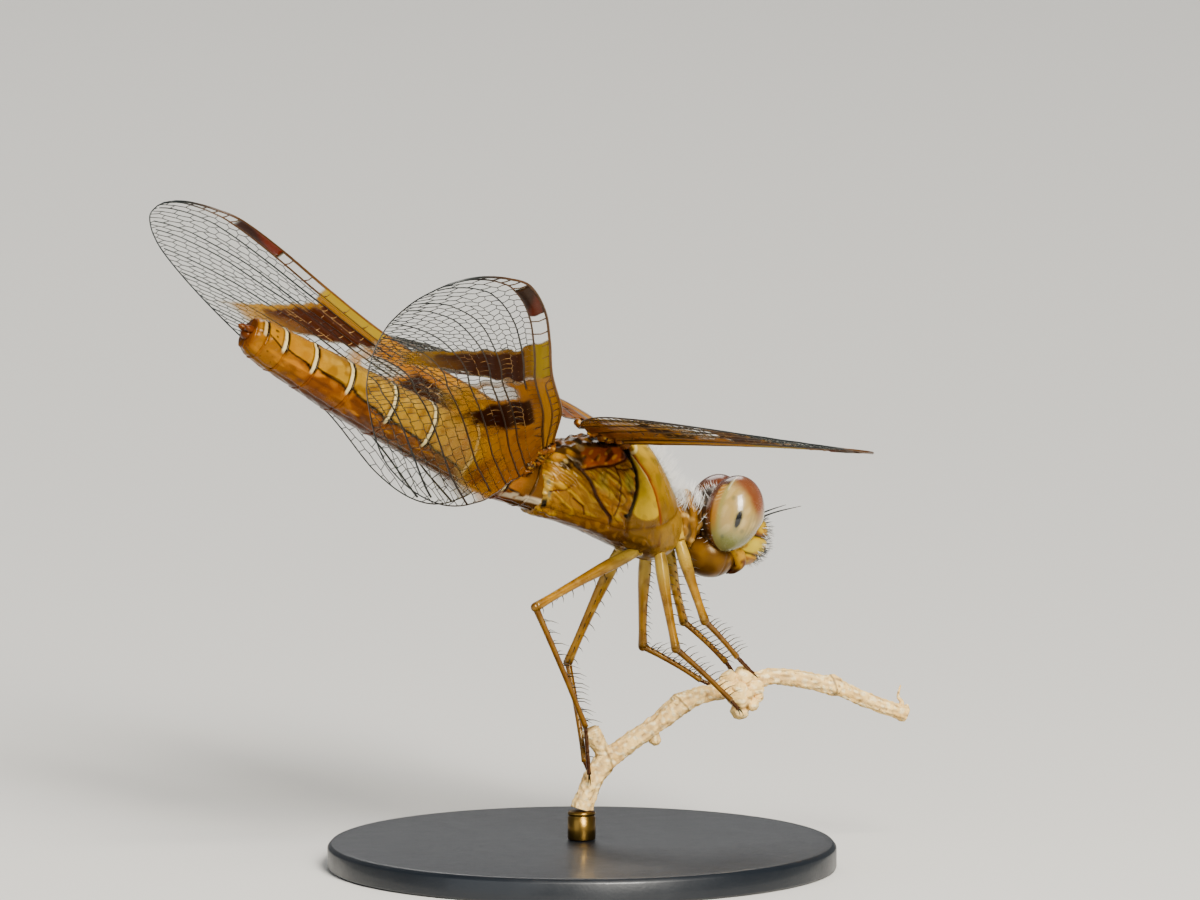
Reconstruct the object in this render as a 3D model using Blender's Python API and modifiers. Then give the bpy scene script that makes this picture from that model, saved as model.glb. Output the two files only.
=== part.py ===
"""A female amberwing dragonfly at rest on a cut twig, held by a plain display stand.

Life size, +Z up, standing on the plane z = 0 with the middle of the stand's underside at the origin.
The head points along +X and the insect's right side faces -Y.  Sizes in this file are millimetres,
turned into metres as each shape is made.  The insect and its perch are measured from a point on the
body's midline between the wing bases, BODY_ORIGIN.
"""

import bisect
from math import cos, pi, radians, sin

import bmesh
import bpy
from mathutils import Euler, Matrix, Vector

MM = 0.001
GAP = 0.04                # left between neighbouring solids
BODY_ORIGIN = (0.8, 0.0, 16.5)

# stand
BASE_RADIUS = 10.0
BASE_HEIGHT = 1.0
BASE_EDGE = 0.15
ROD_RADIUS = 0.55

# body
THORAX_SIDES = 16
ABDOMEN_SIDES = 14
ABDOMEN_BASE = (-2.96, 0.0, -1.32)
ABDOMEN_PITCH = 28.6      # degrees, tail raised
HEAD_CENTRE = (5.3, 0.0, -3.15)
HEAD_PITCH = 15.0         # degrees, face turned down
EYE_OFFSET = 1.04         # from the midline to each eye's centre
EYE_RADII = (1.16, 1.24, 1.56)

# wings and limbs
WING_THICKNESS = 0.5
HINDWING_LENGTH = 18.3
FOREWING_LENGTH = 18.5
LIMB_RADIUS = 0.27
ANTENNA_RADIUS = 0.26

# Stations of the synthorax along the body: x, top, underside, half width.
THORAX_STATIONS = (
    (-3.25, -0.45, -2.25, 0.85), (-2.90, 0.10, -2.40, 1.20), (-2.10, 0.45, -2.65, 1.52),
    (-1.00, 0.58, -3.08, 1.74), (0.00, 0.60, -3.55, 1.80), (1.00, 0.48, -4.05, 1.74),
    (1.90, 0.15, -4.38, 1.55), (2.50, -0.65, -4.40, 1.30), (3.00, -1.60, -4.15, 0.98),
    (3.36, -2.40, -3.75, 0.62),
)
PROTHORAX_STATIONS = (
    (3.42, -2.25, -4.00, 0.74), (3.66, -1.80, -4.15, 0.92), (3.92, -1.95, -3.90, 0.84),
    (4.10, -2.40, -3.60, 0.58),
)
# The abdomen's outline: distance from its base, half width, height above the axis, depth below it.
ABDOMEN_PROFILE = (
    (0.0, 1.05, 1.22, 0.90), (1.7, 1.18, 1.22, 1.18), (4.0, 1.22, 1.15, 1.28), (7.8, 1.36, 1.03, 1.24),
    (10.0, 1.27, 0.97, 1.15), (12.0, 1.04, 0.92, 0.97), (13.3, 0.80, 0.88, 0.88),
    (14.1, 0.62, 0.80, 0.72), (14.4, 0.48, 0.62, 0.50),
)
SEGMENT_ENDS = (-0.2, 0.6, 1.7, 3.6, 5.8, 7.8, 9.9, 11.6, 13.0, 13.9, 14.4)

# Wing outlines: share of the length, leading edge, trailing edge (both towards the tail).
HINDWING_OUTLINE = (
    (-0.06, 0.2, 1.4), (0.0, 0.0, 1.9), (0.02, -0.1, 3.6), (0.06, -0.3, 5.1), (0.13, -0.55, 6.15),
    (0.22, -0.72, 6.6), (0.42, -0.87, 6.4), (0.60, -1.28, 5.8), (0.75, -1.60, 5.1),
    (0.87, -1.46, 4.35), (0.93, -0.82, 3.75), (0.97, -0.05, 3.1), (1.0, 0.85, 2.3),
)
FOREWING_OUTLINE = (
    (-0.03, 0.1, 1.2), (0.0, 0.0, 1.4), (0.03, -0.05, 2.4), (0.10, -0.20, 3.2), (0.20, -0.30, 3.75),
    (0.35, -0.42, 4.1), (0.52, -0.50, 4.4), (0.70, -0.55, 4.4), (0.82, -0.50, 4.1),
    (0.90, -0.20, 3.7), (0.95, 0.25, 3.2), (0.98, 0.75, 2.75), (1.0, 1.3, 2.2),
)
# Each wing: side, root, angles (raised, pitched, swept; degrees), then how it bends along its
# length: out of its plane, in its plane, twist at the tip (linear and squared), twist at the base.
WINGS = {
    "hindwing_right": (-1, (-2.90, -1.53, 0.75), (-25.0, -9.7, -29.2), (0.08, 0.05, 0.47, -0.70, -0.69)),
    "hindwing_left": (1, (-2.40, 1.57, 0.71), (22.0, -12.0, 28.5), (0.06, -0.11, 0.33, -0.24, -0.67)),
    "forewing_right": (-1, (0.89, -1.00, 0.30), (-8.8, 21.5, -5.5), (0.0, -0.14, -0.24, 0.04, -0.08)),
    "forewing_left": (1, (0.98, 0.96, 0.43), (12.0, 28.0, 1.0), (-0.16, -0.07, -0.19, 0.09, -0.11)),
}
# Each leg: hip, knee, end of the shin, tip of the foot.
LEGS = {
    "front_right": ((3.20, -0.60, -3.75), (3.97, -1.30, -6.87), (5.82, -0.50, -8.51), (6.68, -0.30, -9.30)),
    "front_left": ((3.30, 0.60, -3.95), (4.42, 1.30, -7.25), (5.91, 0.55, -8.87), (6.55, 0.50, -9.80)),
    "middle_right": ((2.25, -0.75, -4.10), (2.47, -1.70, -7.82), (5.41, -0.75, -10.16), (6.23, -0.55, -11.0)),
    "middle_left": ((2.45, 0.75, -4.20), (2.81, 1.70, -8.18), (4.90, 0.80, -9.54), (5.70, 0.50, -9.95)),
    "hind_right": ((1.20, -0.75, -4.00), (-3.45, -1.10, -5.86), (-0.80, -0.30, -10.87), (-0.45, 0.05, -12.9)),
    "hind_left": ((1.30, 0.75, -4.10), (0.17, 3.00, -8.80), (-0.05, 1.20, -12.50), (0.35, 1.15, -13.4)),
}
TWIG_FOOT = (-0.50, 0.60, -14.30)   # middle of the perch's flat cut end
# The perch's centre line from just below the cut end to the broken tip, with its radius.
TWIG_PATH = (
    (-0.57, 0.60, -14.50, 0.37), (0.02, 0.57, -13.10, 0.37), (0.60, 0.52, -12.36, 0.36),
    (1.70, 0.44, -11.66, 0.34), (2.86, 0.33, -10.98, 0.33), (3.85, 0.22, -10.28, 0.35),
    (5.12, 0.10, -9.95, 0.30), (6.25, 0.00, -9.65, 0.32), (7.95, -0.10, -9.50, 0.30),
    (9.20, -0.15, -9.75, 0.30), (10.30, -0.20, -10.00, 0.33), (11.60, -0.25, -10.60, 0.28),
    (13.50, -0.30, -11.36, 0.27),
)
STUB_PATH = ((0.60, 0.52, -12.36, 0.30), (-0.10, 0.55, -11.15, 0.28))
THORN_PATH = ((2.50, 0.37, -11.20, 0.22), (2.70, 0.40, -11.90, 0.12))
SPIKE_PATH = ((13.20, -0.30, -11.25, 0.20), (13.25, -0.30, -10.20, 0.08))
# Lumps of the gall round the perch: centre and radius.
GALL_LUMPS = (
    (6.10, -0.18, -10.15, 0.50), (6.70, 0.20, -10.35, 0.46), (5.85, 0.15, -9.55, 0.42),
    (6.35, -0.10, -9.35, 0.40), (6.80, -0.12, -9.80, 0.40), (6.25, 0.05, -10.75, 0.40),
)


def clear_scene():
    """Remove every object of the startup file."""
    for item in list(bpy.data.objects):
        bpy.data.objects.remove(item, do_unlink=True)


def new_collection(name):
    """Link an empty collection to the scene."""
    made = bpy.data.collections.new(name)
    bpy.context.scene.collection.children.link(made)
    return made


def material(name, colour, roughness, metallic=0.0):
    """Return the named Principled material, made on its first use."""
    found = bpy.data.materials.get(name)
    if found:
        return found
    made = bpy.data.materials.new(name)
    made.use_nodes = True
    shader = made.node_tree.nodes["Principled BSDF"]
    shader.inputs["Base Color"].default_value = (*colour, 1.0)
    shader.inputs["Roughness"].default_value = roughness
    shader.inputs["Metallic"].default_value = metallic
    return made


def place(name, mesh, look, parent=None):
    """Put a mesh into the model as one named part, facing outwards and shaded smooth."""
    shell = bmesh.new()
    shell.from_mesh(mesh)
    bmesh.ops.recalc_face_normals(shell, faces=shell.faces)
    shell.to_mesh(mesh)
    shell.free()
    mesh.materials.append(material(*look))
    item = bpy.data.objects.new(name, mesh)
    parts.objects.link(item)
    item.parent = parent
    mesh.shade_smooth()
    mesh.set_sharp_from_angle(angle=radians(40))
    return item


def frame(name, location, pitch=0.0, parent=None):
    """An empty that carries the parts of one region; pitch lowers its +X end, in degrees."""
    holder = bpy.data.objects.new(name, None)
    parts.objects.link(holder)
    holder.parent = parent
    holder.location = Vector(location) * MM
    holder.rotation_euler = (0.0, radians(pitch), 0.0)
    return holder


def loft(name, rings):
    """Skin a row of equal rings and cap both ends."""
    sides = len(rings[0])
    faces = [tuple(range(sides)), tuple(range((len(rings) - 1) * sides, len(rings) * sides))]
    for row in range(len(rings) - 1):
        for k in range(sides):
            here, after = row * sides + k, row * sides + (k + 1) % sides
            faces.append((here, after, after + sides, here + sides))
    mesh = bpy.data.meshes.new(name)
    mesh.from_pydata([Vector(point) * MM for ring in rings for point in ring], [], faces)
    return mesh


def rounded(value, power):
    """Keep the sign and soften the value, for box-like rounds."""
    return (abs(value) ** power) * (1 if value >= 0 else -1)


def box_ring(x, top, bottom, half_width, sides, taper):
    """A rounded upright section that narrows towards its top."""
    middle, reach = (top + bottom) / 2, (top - bottom) / 2
    points = []
    for k in range(sides):
        turn = 2 * pi * (k + 0.5) / sides
        rise = rounded(sin(turn), 0.8)
        width = half_width * rounded(cos(turn), 0.8) * (1 - taper * max(0.0, rise))
        points.append((x, width, middle + reach * rise))
    return points


def along(profile, distance):
    """Read a profile's row at a distance, linear between its stations."""
    stops = [row[0] for row in profile]
    k = min(max(bisect.bisect_right(stops, distance), 1), len(profile) - 1)
    low, high = profile[k - 1], profile[k]
    share = (distance - low[0]) / (high[0] - low[0])
    return [a + (b - a) * share for a, b in zip(low[1:], high[1:])]


def evaluated_copy(item):
    """The item's finished mesh in world space."""
    bpy.context.view_layer.update()
    mesh = bpy.data.meshes.new_from_object(item.evaluated_get(bpy.context.evaluated_depsgraph_get()))
    mesh.transform(item.matrix_world)
    return mesh


def cutter_from(item, margin=GAP):
    """A hidden copy of an item, swollen along its normals by the margin."""
    mesh = evaluated_copy(item)
    shell = bmesh.new()
    shell.from_mesh(mesh)
    bmesh.ops.remove_doubles(shell, verts=shell.verts, dist=1e-6)
    shell.normal_update()
    for vert in shell.verts:
        vert.co += vert.normal * margin * MM
    shell.to_mesh(mesh)
    shell.free()
    return hide_as_cutter(f"{item.name}_cutter", mesh)


def hide_as_cutter(name, mesh, parent=None):
    """Keep a mesh among the cutters, out of the model itself."""
    cutter = bpy.data.objects.new(name, mesh)
    cutters.objects.link(cutter)
    cutter.parent = parent
    cutter.hide_render = True
    cutter.display_type = "WIRE"
    return cutter


def combine(item, others, operation="DIFFERENCE"):
    """Cut an item by others, or join others to it, by Boolean modifiers."""
    for other in others:
        change = item.modifiers.new(operation.title(), "BOOLEAN")
        change.operation = operation
        change.solver = "EXACT"
        change.object = other


def ellipsoid_mesh(name, centre, radii, margin=0.0, segments=16, rings=10):
    """A stretched sphere, swollen by the margin, with its scale in the mesh."""
    shape = bmesh.new()
    bmesh.ops.create_uvsphere(shape, u_segments=segments, v_segments=rings, radius=1.0)
    grow = Matrix.Diagonal((*[(r + margin) * MM for r in radii], 1.0))
    bmesh.ops.transform(shape, matrix=Matrix.Translation(Vector(centre) * MM) @ grow, verts=shape.verts)
    mesh = bpy.data.meshes.new(name)
    shape.to_mesh(mesh)
    shape.free()
    return mesh


def cut_flat(mesh, point, normal):
    """Take away what lies beyond a plane and close the flat that it leaves."""
    shape = bmesh.new()
    shape.from_mesh(mesh)
    cut = bmesh.ops.bisect_plane(shape, geom=shape.verts[:] + shape.edges[:] + shape.faces[:],
                                 plane_co=Vector(point) * MM, plane_no=normal, clear_outer=True)
    rim = [item for item in cut["geom_cut"] if isinstance(item, bmesh.types.BMEdge)]
    bmesh.ops.edgeloop_fill(shape, edges=rim)
    bmesh.ops.recalc_face_normals(shape, faces=shape.faces)
    shape.to_mesh(mesh)
    shape.free()
    return mesh


def tube(name, path, look, parent):
    """A round bar along a polyline of (x, y, z, radius), made from a curve and welded closed."""
    curve = bpy.data.curves.new(f"{name}_path", "CURVE")
    curve.dimensions = "3D"
    curve.bevel_depth = 1.0 * MM
    curve.bevel_resolution = 2
    curve.resolution_u = curve.render_resolution_u = 1
    curve.use_fill_caps = True
    line = curve.splines.new("POLY")
    line.points.add(len(path) - 1)
    for point, (x, y, z, radius) in zip(line.points, path):
        point.co = (x * MM, y * MM, z * MM, 1.0)
        point.radius = radius
    guide = bpy.data.objects.new(f"{name}_guide", curve)
    cutters.objects.link(guide)
    mesh = evaluated_copy(guide)
    bpy.data.objects.remove(guide, do_unlink=True)
    shell = bmesh.new()
    shell.from_mesh(mesh)
    bmesh.ops.remove_doubles(shell, verts=shell.verts, dist=1e-7)
    shell.to_mesh(mesh)
    shell.free()
    mesh.name = name
    return place(name, mesh, look, parent)


def limb_path(start, end, first_radius, last_radius, skip):
    """A straight limb from a joint to the next, starting clear of the joint, with a rounded far end."""
    a, b = Vector(start), Vector(end)
    way = (b - a).normalized()
    a = a + way * skip
    return [(*a, first_radius), (*b, last_radius), (*(b + way * last_radius * 0.7), last_radius * 0.7)]


def build_stand():
    """A round plate and the short rod that holds the perch's cut end."""
    look = ("stand_painted", (0.035, 0.035, 0.038), 0.45)
    plate = bmesh.new()
    bmesh.ops.create_cone(plate, cap_ends=True, segments=64, radius1=BASE_RADIUS * MM,
                          radius2=BASE_RADIUS * MM, depth=BASE_HEIGHT * MM)
    bmesh.ops.translate(plate, vec=(0, 0, BASE_HEIGHT * MM / 2), verts=plate.verts)
    mesh = bpy.data.meshes.new("stand_base")
    plate.to_mesh(mesh)
    plate.free()
    base = place("stand_base", mesh, look)
    edge = base.modifiers.new("Edge", "BEVEL")
    edge.width = BASE_EDGE * MM
    edge.segments = 2
    edge.limit_method = "ANGLE"

    foot = Vector(TWIG_FOOT) + Vector(BODY_ORIGIN)
    low, high = BASE_HEIGHT + GAP, foot.z - GAP
    rod = bmesh.new()
    bmesh.ops.create_cone(rod, cap_ends=True, segments=20, radius1=ROD_RADIUS * MM,
                          radius2=ROD_RADIUS * MM, depth=(high - low) * MM)
    mesh = bpy.data.meshes.new("stand_rod")
    rod.to_mesh(mesh)
    rod.free()
    post = place("stand_rod", mesh, ("stand_brass", (0.62, 0.44, 0.18), 0.3, 1.0))
    post.location = (foot.x * MM, foot.y * MM, (low + high) / 2 * MM)


def lump_mesh(lump, margin):
    """One round lump of the gall, measured from BODY_ORIGIN."""
    x, y, z, radius = lump
    shape = bmesh.new()
    bmesh.ops.create_icosphere(shape, subdivisions=2, radius=(radius + margin) * MM)
    bmesh.ops.translate(shape, vec=Vector((x, y, z)) * MM, verts=shape.verts)
    mesh = bpy.data.meshes.new("lump")
    shape.to_mesh(mesh)
    shape.free()
    return mesh


def lump_cutter(k, margin):
    """One lump in world space, swollen by the margin, kept among the cutters."""
    mesh = lump_mesh(GALL_LUMPS[k], margin)
    mesh.transform(Matrix.Translation(Vector(BODY_ORIGIN) * MM))
    return hide_as_cutter(f"gall_lump_{k}_{margin:.2f}", mesh)


def build_perch(body):
    """The twig with its stub, thorn, broken spike and lumpy gall; returns what cuts the feet clear."""
    look = ("twig_bark", (0.66, 0.56, 0.42), 0.8)
    twig = tube("twig", TWIG_PATH, look, body)
    cut_flat(twig.data, TWIG_FOOT, (0, 0, -1))
    twig_cut = cutter_from(twig)
    growths = []
    for name, path in (("stub", STUB_PATH), ("thorn", THORN_PATH), ("spike", SPIKE_PATH)):
        piece = tube(name, path, look, body)
        growths.append(hide_as_cutter(f"{name}_growth", evaluated_copy(piece)))
        bpy.data.objects.remove(piece, do_unlink=True)
    growths += [lump_cutter(k, 0.0) for k in range(len(GALL_LUMPS))]
    combine(twig, growths, "UNION")
    return [twig_cut] + [lump_cutter(k, GAP) for k in range(len(GALL_LUMPS))]


def build_thorax(body):
    """The large winged thorax and the small collar in front of it."""
    amber = ("thorax_cuticle", (0.58, 0.32, 0.04), 0.4)
    rings = [box_ring(x, top, low, wide, THORAX_SIDES, 0.3) for x, top, low, wide in THORAX_STATIONS]
    thorax = place("thorax", loft("thorax", rings), amber, body)
    rings = [box_ring(x, top, low, wide, 12, 0.1) for x, top, low, wide in PROTHORAX_STATIONS]
    collar = place("prothorax", loft("prothorax", rings), ("collar_cuticle", (0.30, 0.14, 0.04), 0.5), body)
    return thorax, collar


def abdomen_ring(distance):
    """A keeled section: ridge on top, widest a little above the middle, flatter below."""
    wide, above, below = along(ABDOMEN_PROFILE, distance)
    points = []
    for k in range(ABDOMEN_SIDES):
        turn = 2 * pi * k / ABDOMEN_SIDES + pi / 2
        rise = sin(turn)
        height = above * rounded(rise, 1.15) if rise > 0 else below * rounded(rise, 0.8)
        points.append((-distance, wide * rounded(cos(turn), 0.9), height))
    return points


def build_abdomen(body, thorax_cut):
    """Ten lengths parted by thin cuts, and the two cerci at the tip."""
    axis = frame("abdomen_axis", ABDOMEN_BASE, ABDOMEN_PITCH, body)
    amber = ("abdomen_cuticle", (0.60, 0.27, 0.03), 0.35)
    lengths = []
    for k in range(10):
        start, end = SEGMENT_ENDS[k], SEGMENT_ENDS[k + 1]
        stops = [start + GAP, end] if end - start < 1.0 else [start + GAP, (start + end) / 2, end]
        mesh = loft(f"abdomen_{k + 1}", [abdomen_ring(stop) for stop in stops])
        lengths.append(place(f"abdomen_{k + 1}", mesh, amber, axis))
    for length in lengths[:2]:
        combine(length, thorax_cut)
    tail = SEGMENT_ENDS[-1]
    for name, side in (("cercus_right", -1), ("cercus_left", 1)):
        path = [(-tail - GAP, side * 0.29, 0.18, 0.25), (-tail - 0.22, side * 0.29, 0.18, 0.23),
                (-tail - 0.38, side * 0.29, 0.20, 0.12)]
        tube(name, path, ("cercus_cuticle", (0.14, 0.05, 0.02), 0.4), axis)
    return lengths


def eye_mesh(side, margin=0.0):
    """One eye, flat where it meets the other at the midline."""
    centre = (0.18, side * EYE_OFFSET, 0.32)
    mesh = ellipsoid_mesh("eye", centre, EYE_RADII, margin, 20, 14)
    return cut_flat(mesh, (0, side * (GAP / 2 - margin), 0), (0, -side, 0))


def build_head(body):
    """Two great eyes that meet on top, the capsule behind them, face, mouthparts and antennae."""
    centre = frame("head_axis", HEAD_CENTRE, HEAD_PITCH, body)
    capsule_shape = ((-0.22, 0.0, 0.10), (0.88, 1.78, 1.25))
    face_shape = ((1.00, 0.0, -0.42), (1.05, 0.98, 1.12))
    labium_shape = ((-0.15, 0.0, -1.35), (1.05, 1.10, 0.88))
    looks = {
        "capsule": ("head_cuticle", (0.20, 0.09, 0.03), 0.5),
        "eye": ("eye_lens", (0.42, 0.34, 0.18), 0.2),
        "face": ("face_cuticle", (0.70, 0.48, 0.08), 0.35),
        "labium": ("labium_cuticle", (0.40, 0.17, 0.03), 0.3),
        "antenna": ("antenna_cuticle", (0.03, 0.02, 0.02), 0.4),
    }
    capsule_cut = hide_as_cutter("capsule_cutter", ellipsoid_mesh("capsule", *capsule_shape, GAP), centre)
    face_cut = hide_as_cutter("face_cutter", ellipsoid_mesh("face", *face_shape, GAP), centre)
    eye_cuts = [hide_as_cutter("eye_cutter", eye_mesh(side, GAP), centre) for side in (-1, 1)]

    place("head", ellipsoid_mesh("head", *capsule_shape), looks["capsule"], centre)
    for name, side in (("eye_right", -1), ("eye_left", 1)):
        combine(place(name, eye_mesh(side), looks["eye"], centre), [capsule_cut])
    face = place("face", ellipsoid_mesh("face", *face_shape), looks["face"], centre)
    combine(face, [capsule_cut, *eye_cuts])
    labium = place("labium", ellipsoid_mesh("labium", *labium_shape), looks["labium"], centre)
    combine(labium, [capsule_cut, face_cut, *eye_cuts])
    for name, side in (("antenna_right", -1), ("antenna_left", 1)):
        path = [(1.35, side * 0.32, 0.42, ANTENNA_RADIUS), (2.2, side * 0.60, 0.95, ANTENNA_RADIUS),
                (2.75, side * 0.85, 1.22, ANTENNA_RADIUS * 0.8)]
        combine(tube(name, path, looks["antenna"], centre), [face_cut, *eye_cuts])


def wing_surface(outline, length, side, bends):
    """Rows of points across the wing, root to tip, in the wing's own frame.

    Along the share t of the length the row starts at (0, side t L, bend t^2 L); it runs backwards
    (-X), shifted in plane by the in-plane bend, and turned about the span by the twist."""
    lift, sweep, twist, twist_squared, base_twist = bends
    across = 5
    rows = []
    for share, lead, trail in outline:
        t = max(share, 0.0)
        turn = twist * t + twist_squared * t * t + base_twist * max(0.0, 1 - t / 0.35) ** 2
        row = []
        for k in range(across):
            back = lead + (trail - lead) * k / (across - 1)
            row.append((-back * cos(turn) - sweep * t * t * length, side * share * length,
                        back * sin(turn) + lift * t * t * length))
        rows.append(row)
    return rows


def build_wing(name, outline, length, body, cutting):
    """A twisted plate, cut clear of what it grows from."""
    side, root, angles, bends = WINGS[name]
    rows = wing_surface(outline, length, side, bends)
    across = len(rows[0])
    faces = []
    for row in range(len(rows) - 1):
        for k in range(across - 1):
            here = row * across + k
            faces.append((here, here + 1, here + across + 1, here + across))
    mesh = bpy.data.meshes.new(name)
    mesh.from_pydata([Vector(point) * MM for row in rows for point in row], [], faces)
    wing = place(name, mesh, ("wing_membrane", (0.62, 0.42, 0.16), 0.3), body)
    wing.location = Vector(root) * MM
    wing.rotation_euler = Euler([radians(angle) for angle in angles], "XYZ")
    plate = wing.modifiers.new("Thickness", "SOLIDIFY")
    plate.thickness = WING_THICKNESS * MM
    plate.offset = 0.0
    combine(wing, cutting)
    return wing


def build_leg(name, body, trunk_cut, perch_cut):
    """Thigh, shin and foot of one leg, each starting clear of the joint before it."""
    hip, knee, ankle, toe = LEGS[name]
    look = ("leg_cuticle", (0.48, 0.22, 0.05), 0.4)
    skip = LIMB_RADIUS + GAP
    thigh = tube(f"{name}_femur", limb_path(hip, knee, LIMB_RADIUS * 1.15, LIMB_RADIUS, 0.0), look, body)
    combine(thigh, trunk_cut)
    tube(f"{name}_tibia", limb_path(knee, ankle, LIMB_RADIUS, LIMB_RADIUS, skip), look, body)
    foot = tube(f"{name}_tarsus", limb_path(ankle, toe, LIMB_RADIUS, LIMB_RADIUS * 0.9, skip), look, body)
    combine(foot, perch_cut)


clear_scene()
parts = new_collection("amberwing_dragonfly")
cutters = new_collection("cutters")
body_frame = frame("insect_and_perch", BODY_ORIGIN)

build_stand()
perch_cuts = build_perch(body_frame)
thorax, collar = build_thorax(body_frame)
build_head(body_frame)

thorax_cut = cutter_from(thorax)
abdomen = build_abdomen(body_frame, [thorax_cut])
collar_cut = cutter_from(collar)
abdomen_cuts = [cutter_from(length) for length in abdomen[:4]]
for wing_name in ("hindwing_right", "hindwing_left"):
    build_wing(wing_name, HINDWING_OUTLINE, HINDWING_LENGTH, body_frame, [thorax_cut, *abdomen_cuts])
for wing_name in ("forewing_right", "forewing_left"):
    build_wing(wing_name, FOREWING_OUTLINE, FOREWING_LENGTH, body_frame, [thorax_cut])
for leg_name in LEGS:
    build_leg(leg_name, body_frame, [thorax_cut, collar_cut], perch_cuts)
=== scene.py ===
"""A female amberwing dragonfly resting head down on a cut twig, on its small display stand.

Sizes are millimetres measured from a point on the body's midline between the wing bases, and turn
into metres as each piece is made.  +X is forwards, +Z up, and the insect's right side faces -Y.
"""

import math

import bpy
import numpy as np
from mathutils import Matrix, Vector


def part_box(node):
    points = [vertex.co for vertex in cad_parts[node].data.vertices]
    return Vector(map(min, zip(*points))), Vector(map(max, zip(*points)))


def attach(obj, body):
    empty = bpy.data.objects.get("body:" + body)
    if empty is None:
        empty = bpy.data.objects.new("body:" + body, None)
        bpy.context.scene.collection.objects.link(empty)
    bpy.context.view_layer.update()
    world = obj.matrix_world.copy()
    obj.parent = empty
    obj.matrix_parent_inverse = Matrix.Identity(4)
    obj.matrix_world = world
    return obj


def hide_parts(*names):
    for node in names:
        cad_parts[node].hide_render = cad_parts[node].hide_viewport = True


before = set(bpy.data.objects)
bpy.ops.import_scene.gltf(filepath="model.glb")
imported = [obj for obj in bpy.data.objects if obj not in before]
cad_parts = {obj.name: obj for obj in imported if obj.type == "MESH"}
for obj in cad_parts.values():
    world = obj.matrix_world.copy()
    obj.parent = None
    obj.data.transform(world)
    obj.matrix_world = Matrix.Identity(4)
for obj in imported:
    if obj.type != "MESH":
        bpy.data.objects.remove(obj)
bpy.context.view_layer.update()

# ------------------------------------------------------------------------------------------------
# Display stand: a turned plate of black painted metal, and a short brass rod screwed into it that
# holds the perch.  Both are lathe-turned with softened edges and a fine grain.
# ------------------------------------------------------------------------------------------------
MM = 0.001


def hexed(code):
    """Red, green and blue of a six-digit colour code c, as 0.65 c to the powers 3.4, 2.9 and 2.6:
    deeper and more golden than linear, since the pale floor washes a glossy shell out."""
    shares = np.array([int(code[k:k + 2], 16) / 255 for k in (0, 2, 4)])
    return 0.65 * shares ** (3.4, 2.9, 2.6)


def plug(tree, node, inputs):
    """Fill a node's sockets: each takes the output that joins it, or the value that it holds."""
    for key, value in inputs.items():
        if isinstance(value, bpy.types.NodeSocket):
            tree.links.new(value, node.inputs[key])
        else:
            node.inputs[key].default_value = value
    return node


def add_node(tree, kind, inputs=None, **settings):
    """One new shader node with its settings and its filled sockets."""
    made = tree.nodes.new(kind)
    for key, value in settings.items():
        setattr(made, key, value)
    return plug(tree, made, inputs or {})


def reckon(tree, operation, *values):
    """Output of a math node that works on numbers or on other nodes' outputs."""
    inputs = dict(enumerate(values))
    return add_node(tree, "ShaderNodeMath", inputs, operation=operation).outputs[0]


def grain_group():
    """Coarse and fine noise on object coordinates, with two results: a tone for colour, which is
    1 + contrast x (coarse - 1/2), and a height for bump, which is coarse + fine / 2."""
    group = bpy.data.node_groups.new("grain", "ShaderNodeTree")
    number = "NodeSocketFloat"
    for title, value in (("Coarse", 600.0), ("Fine", 6000.0), ("Contrast", 0.3)):
        socket = group.interface.new_socket(name=title, in_out="INPUT", socket_type=number)
        socket.default_value = value
    for title in ("Tone", "Height"):
        group.interface.new_socket(name=title, in_out="OUTPUT", socket_type=number)
    given, out = group.nodes.new("NodeGroupInput"), group.nodes.new("NodeGroupOutput")
    where = add_node(group, "ShaderNodeTexCoord").outputs["Object"]
    coarse, fine = (
        add_node(group, "ShaderNodeTexNoise",
                 {"Vector": where, "Scale": given.outputs[title], "Detail": detail}).outputs["Fac"]
        for title, detail in (("Coarse", 3.0), ("Fine", 2.0)))
    centred = reckon(group, "SUBTRACT", coarse, 0.5)
    swing = reckon(group, "MULTIPLY", centred, given.outputs["Contrast"])
    plug(group, out, {"Tone": reckon(group, "ADD", swing, 1.0),
                      "Height": reckon(group, "MULTIPLY_ADD", fine, 0.5, coarse)})
    return group


grain = grain_group()


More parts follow.
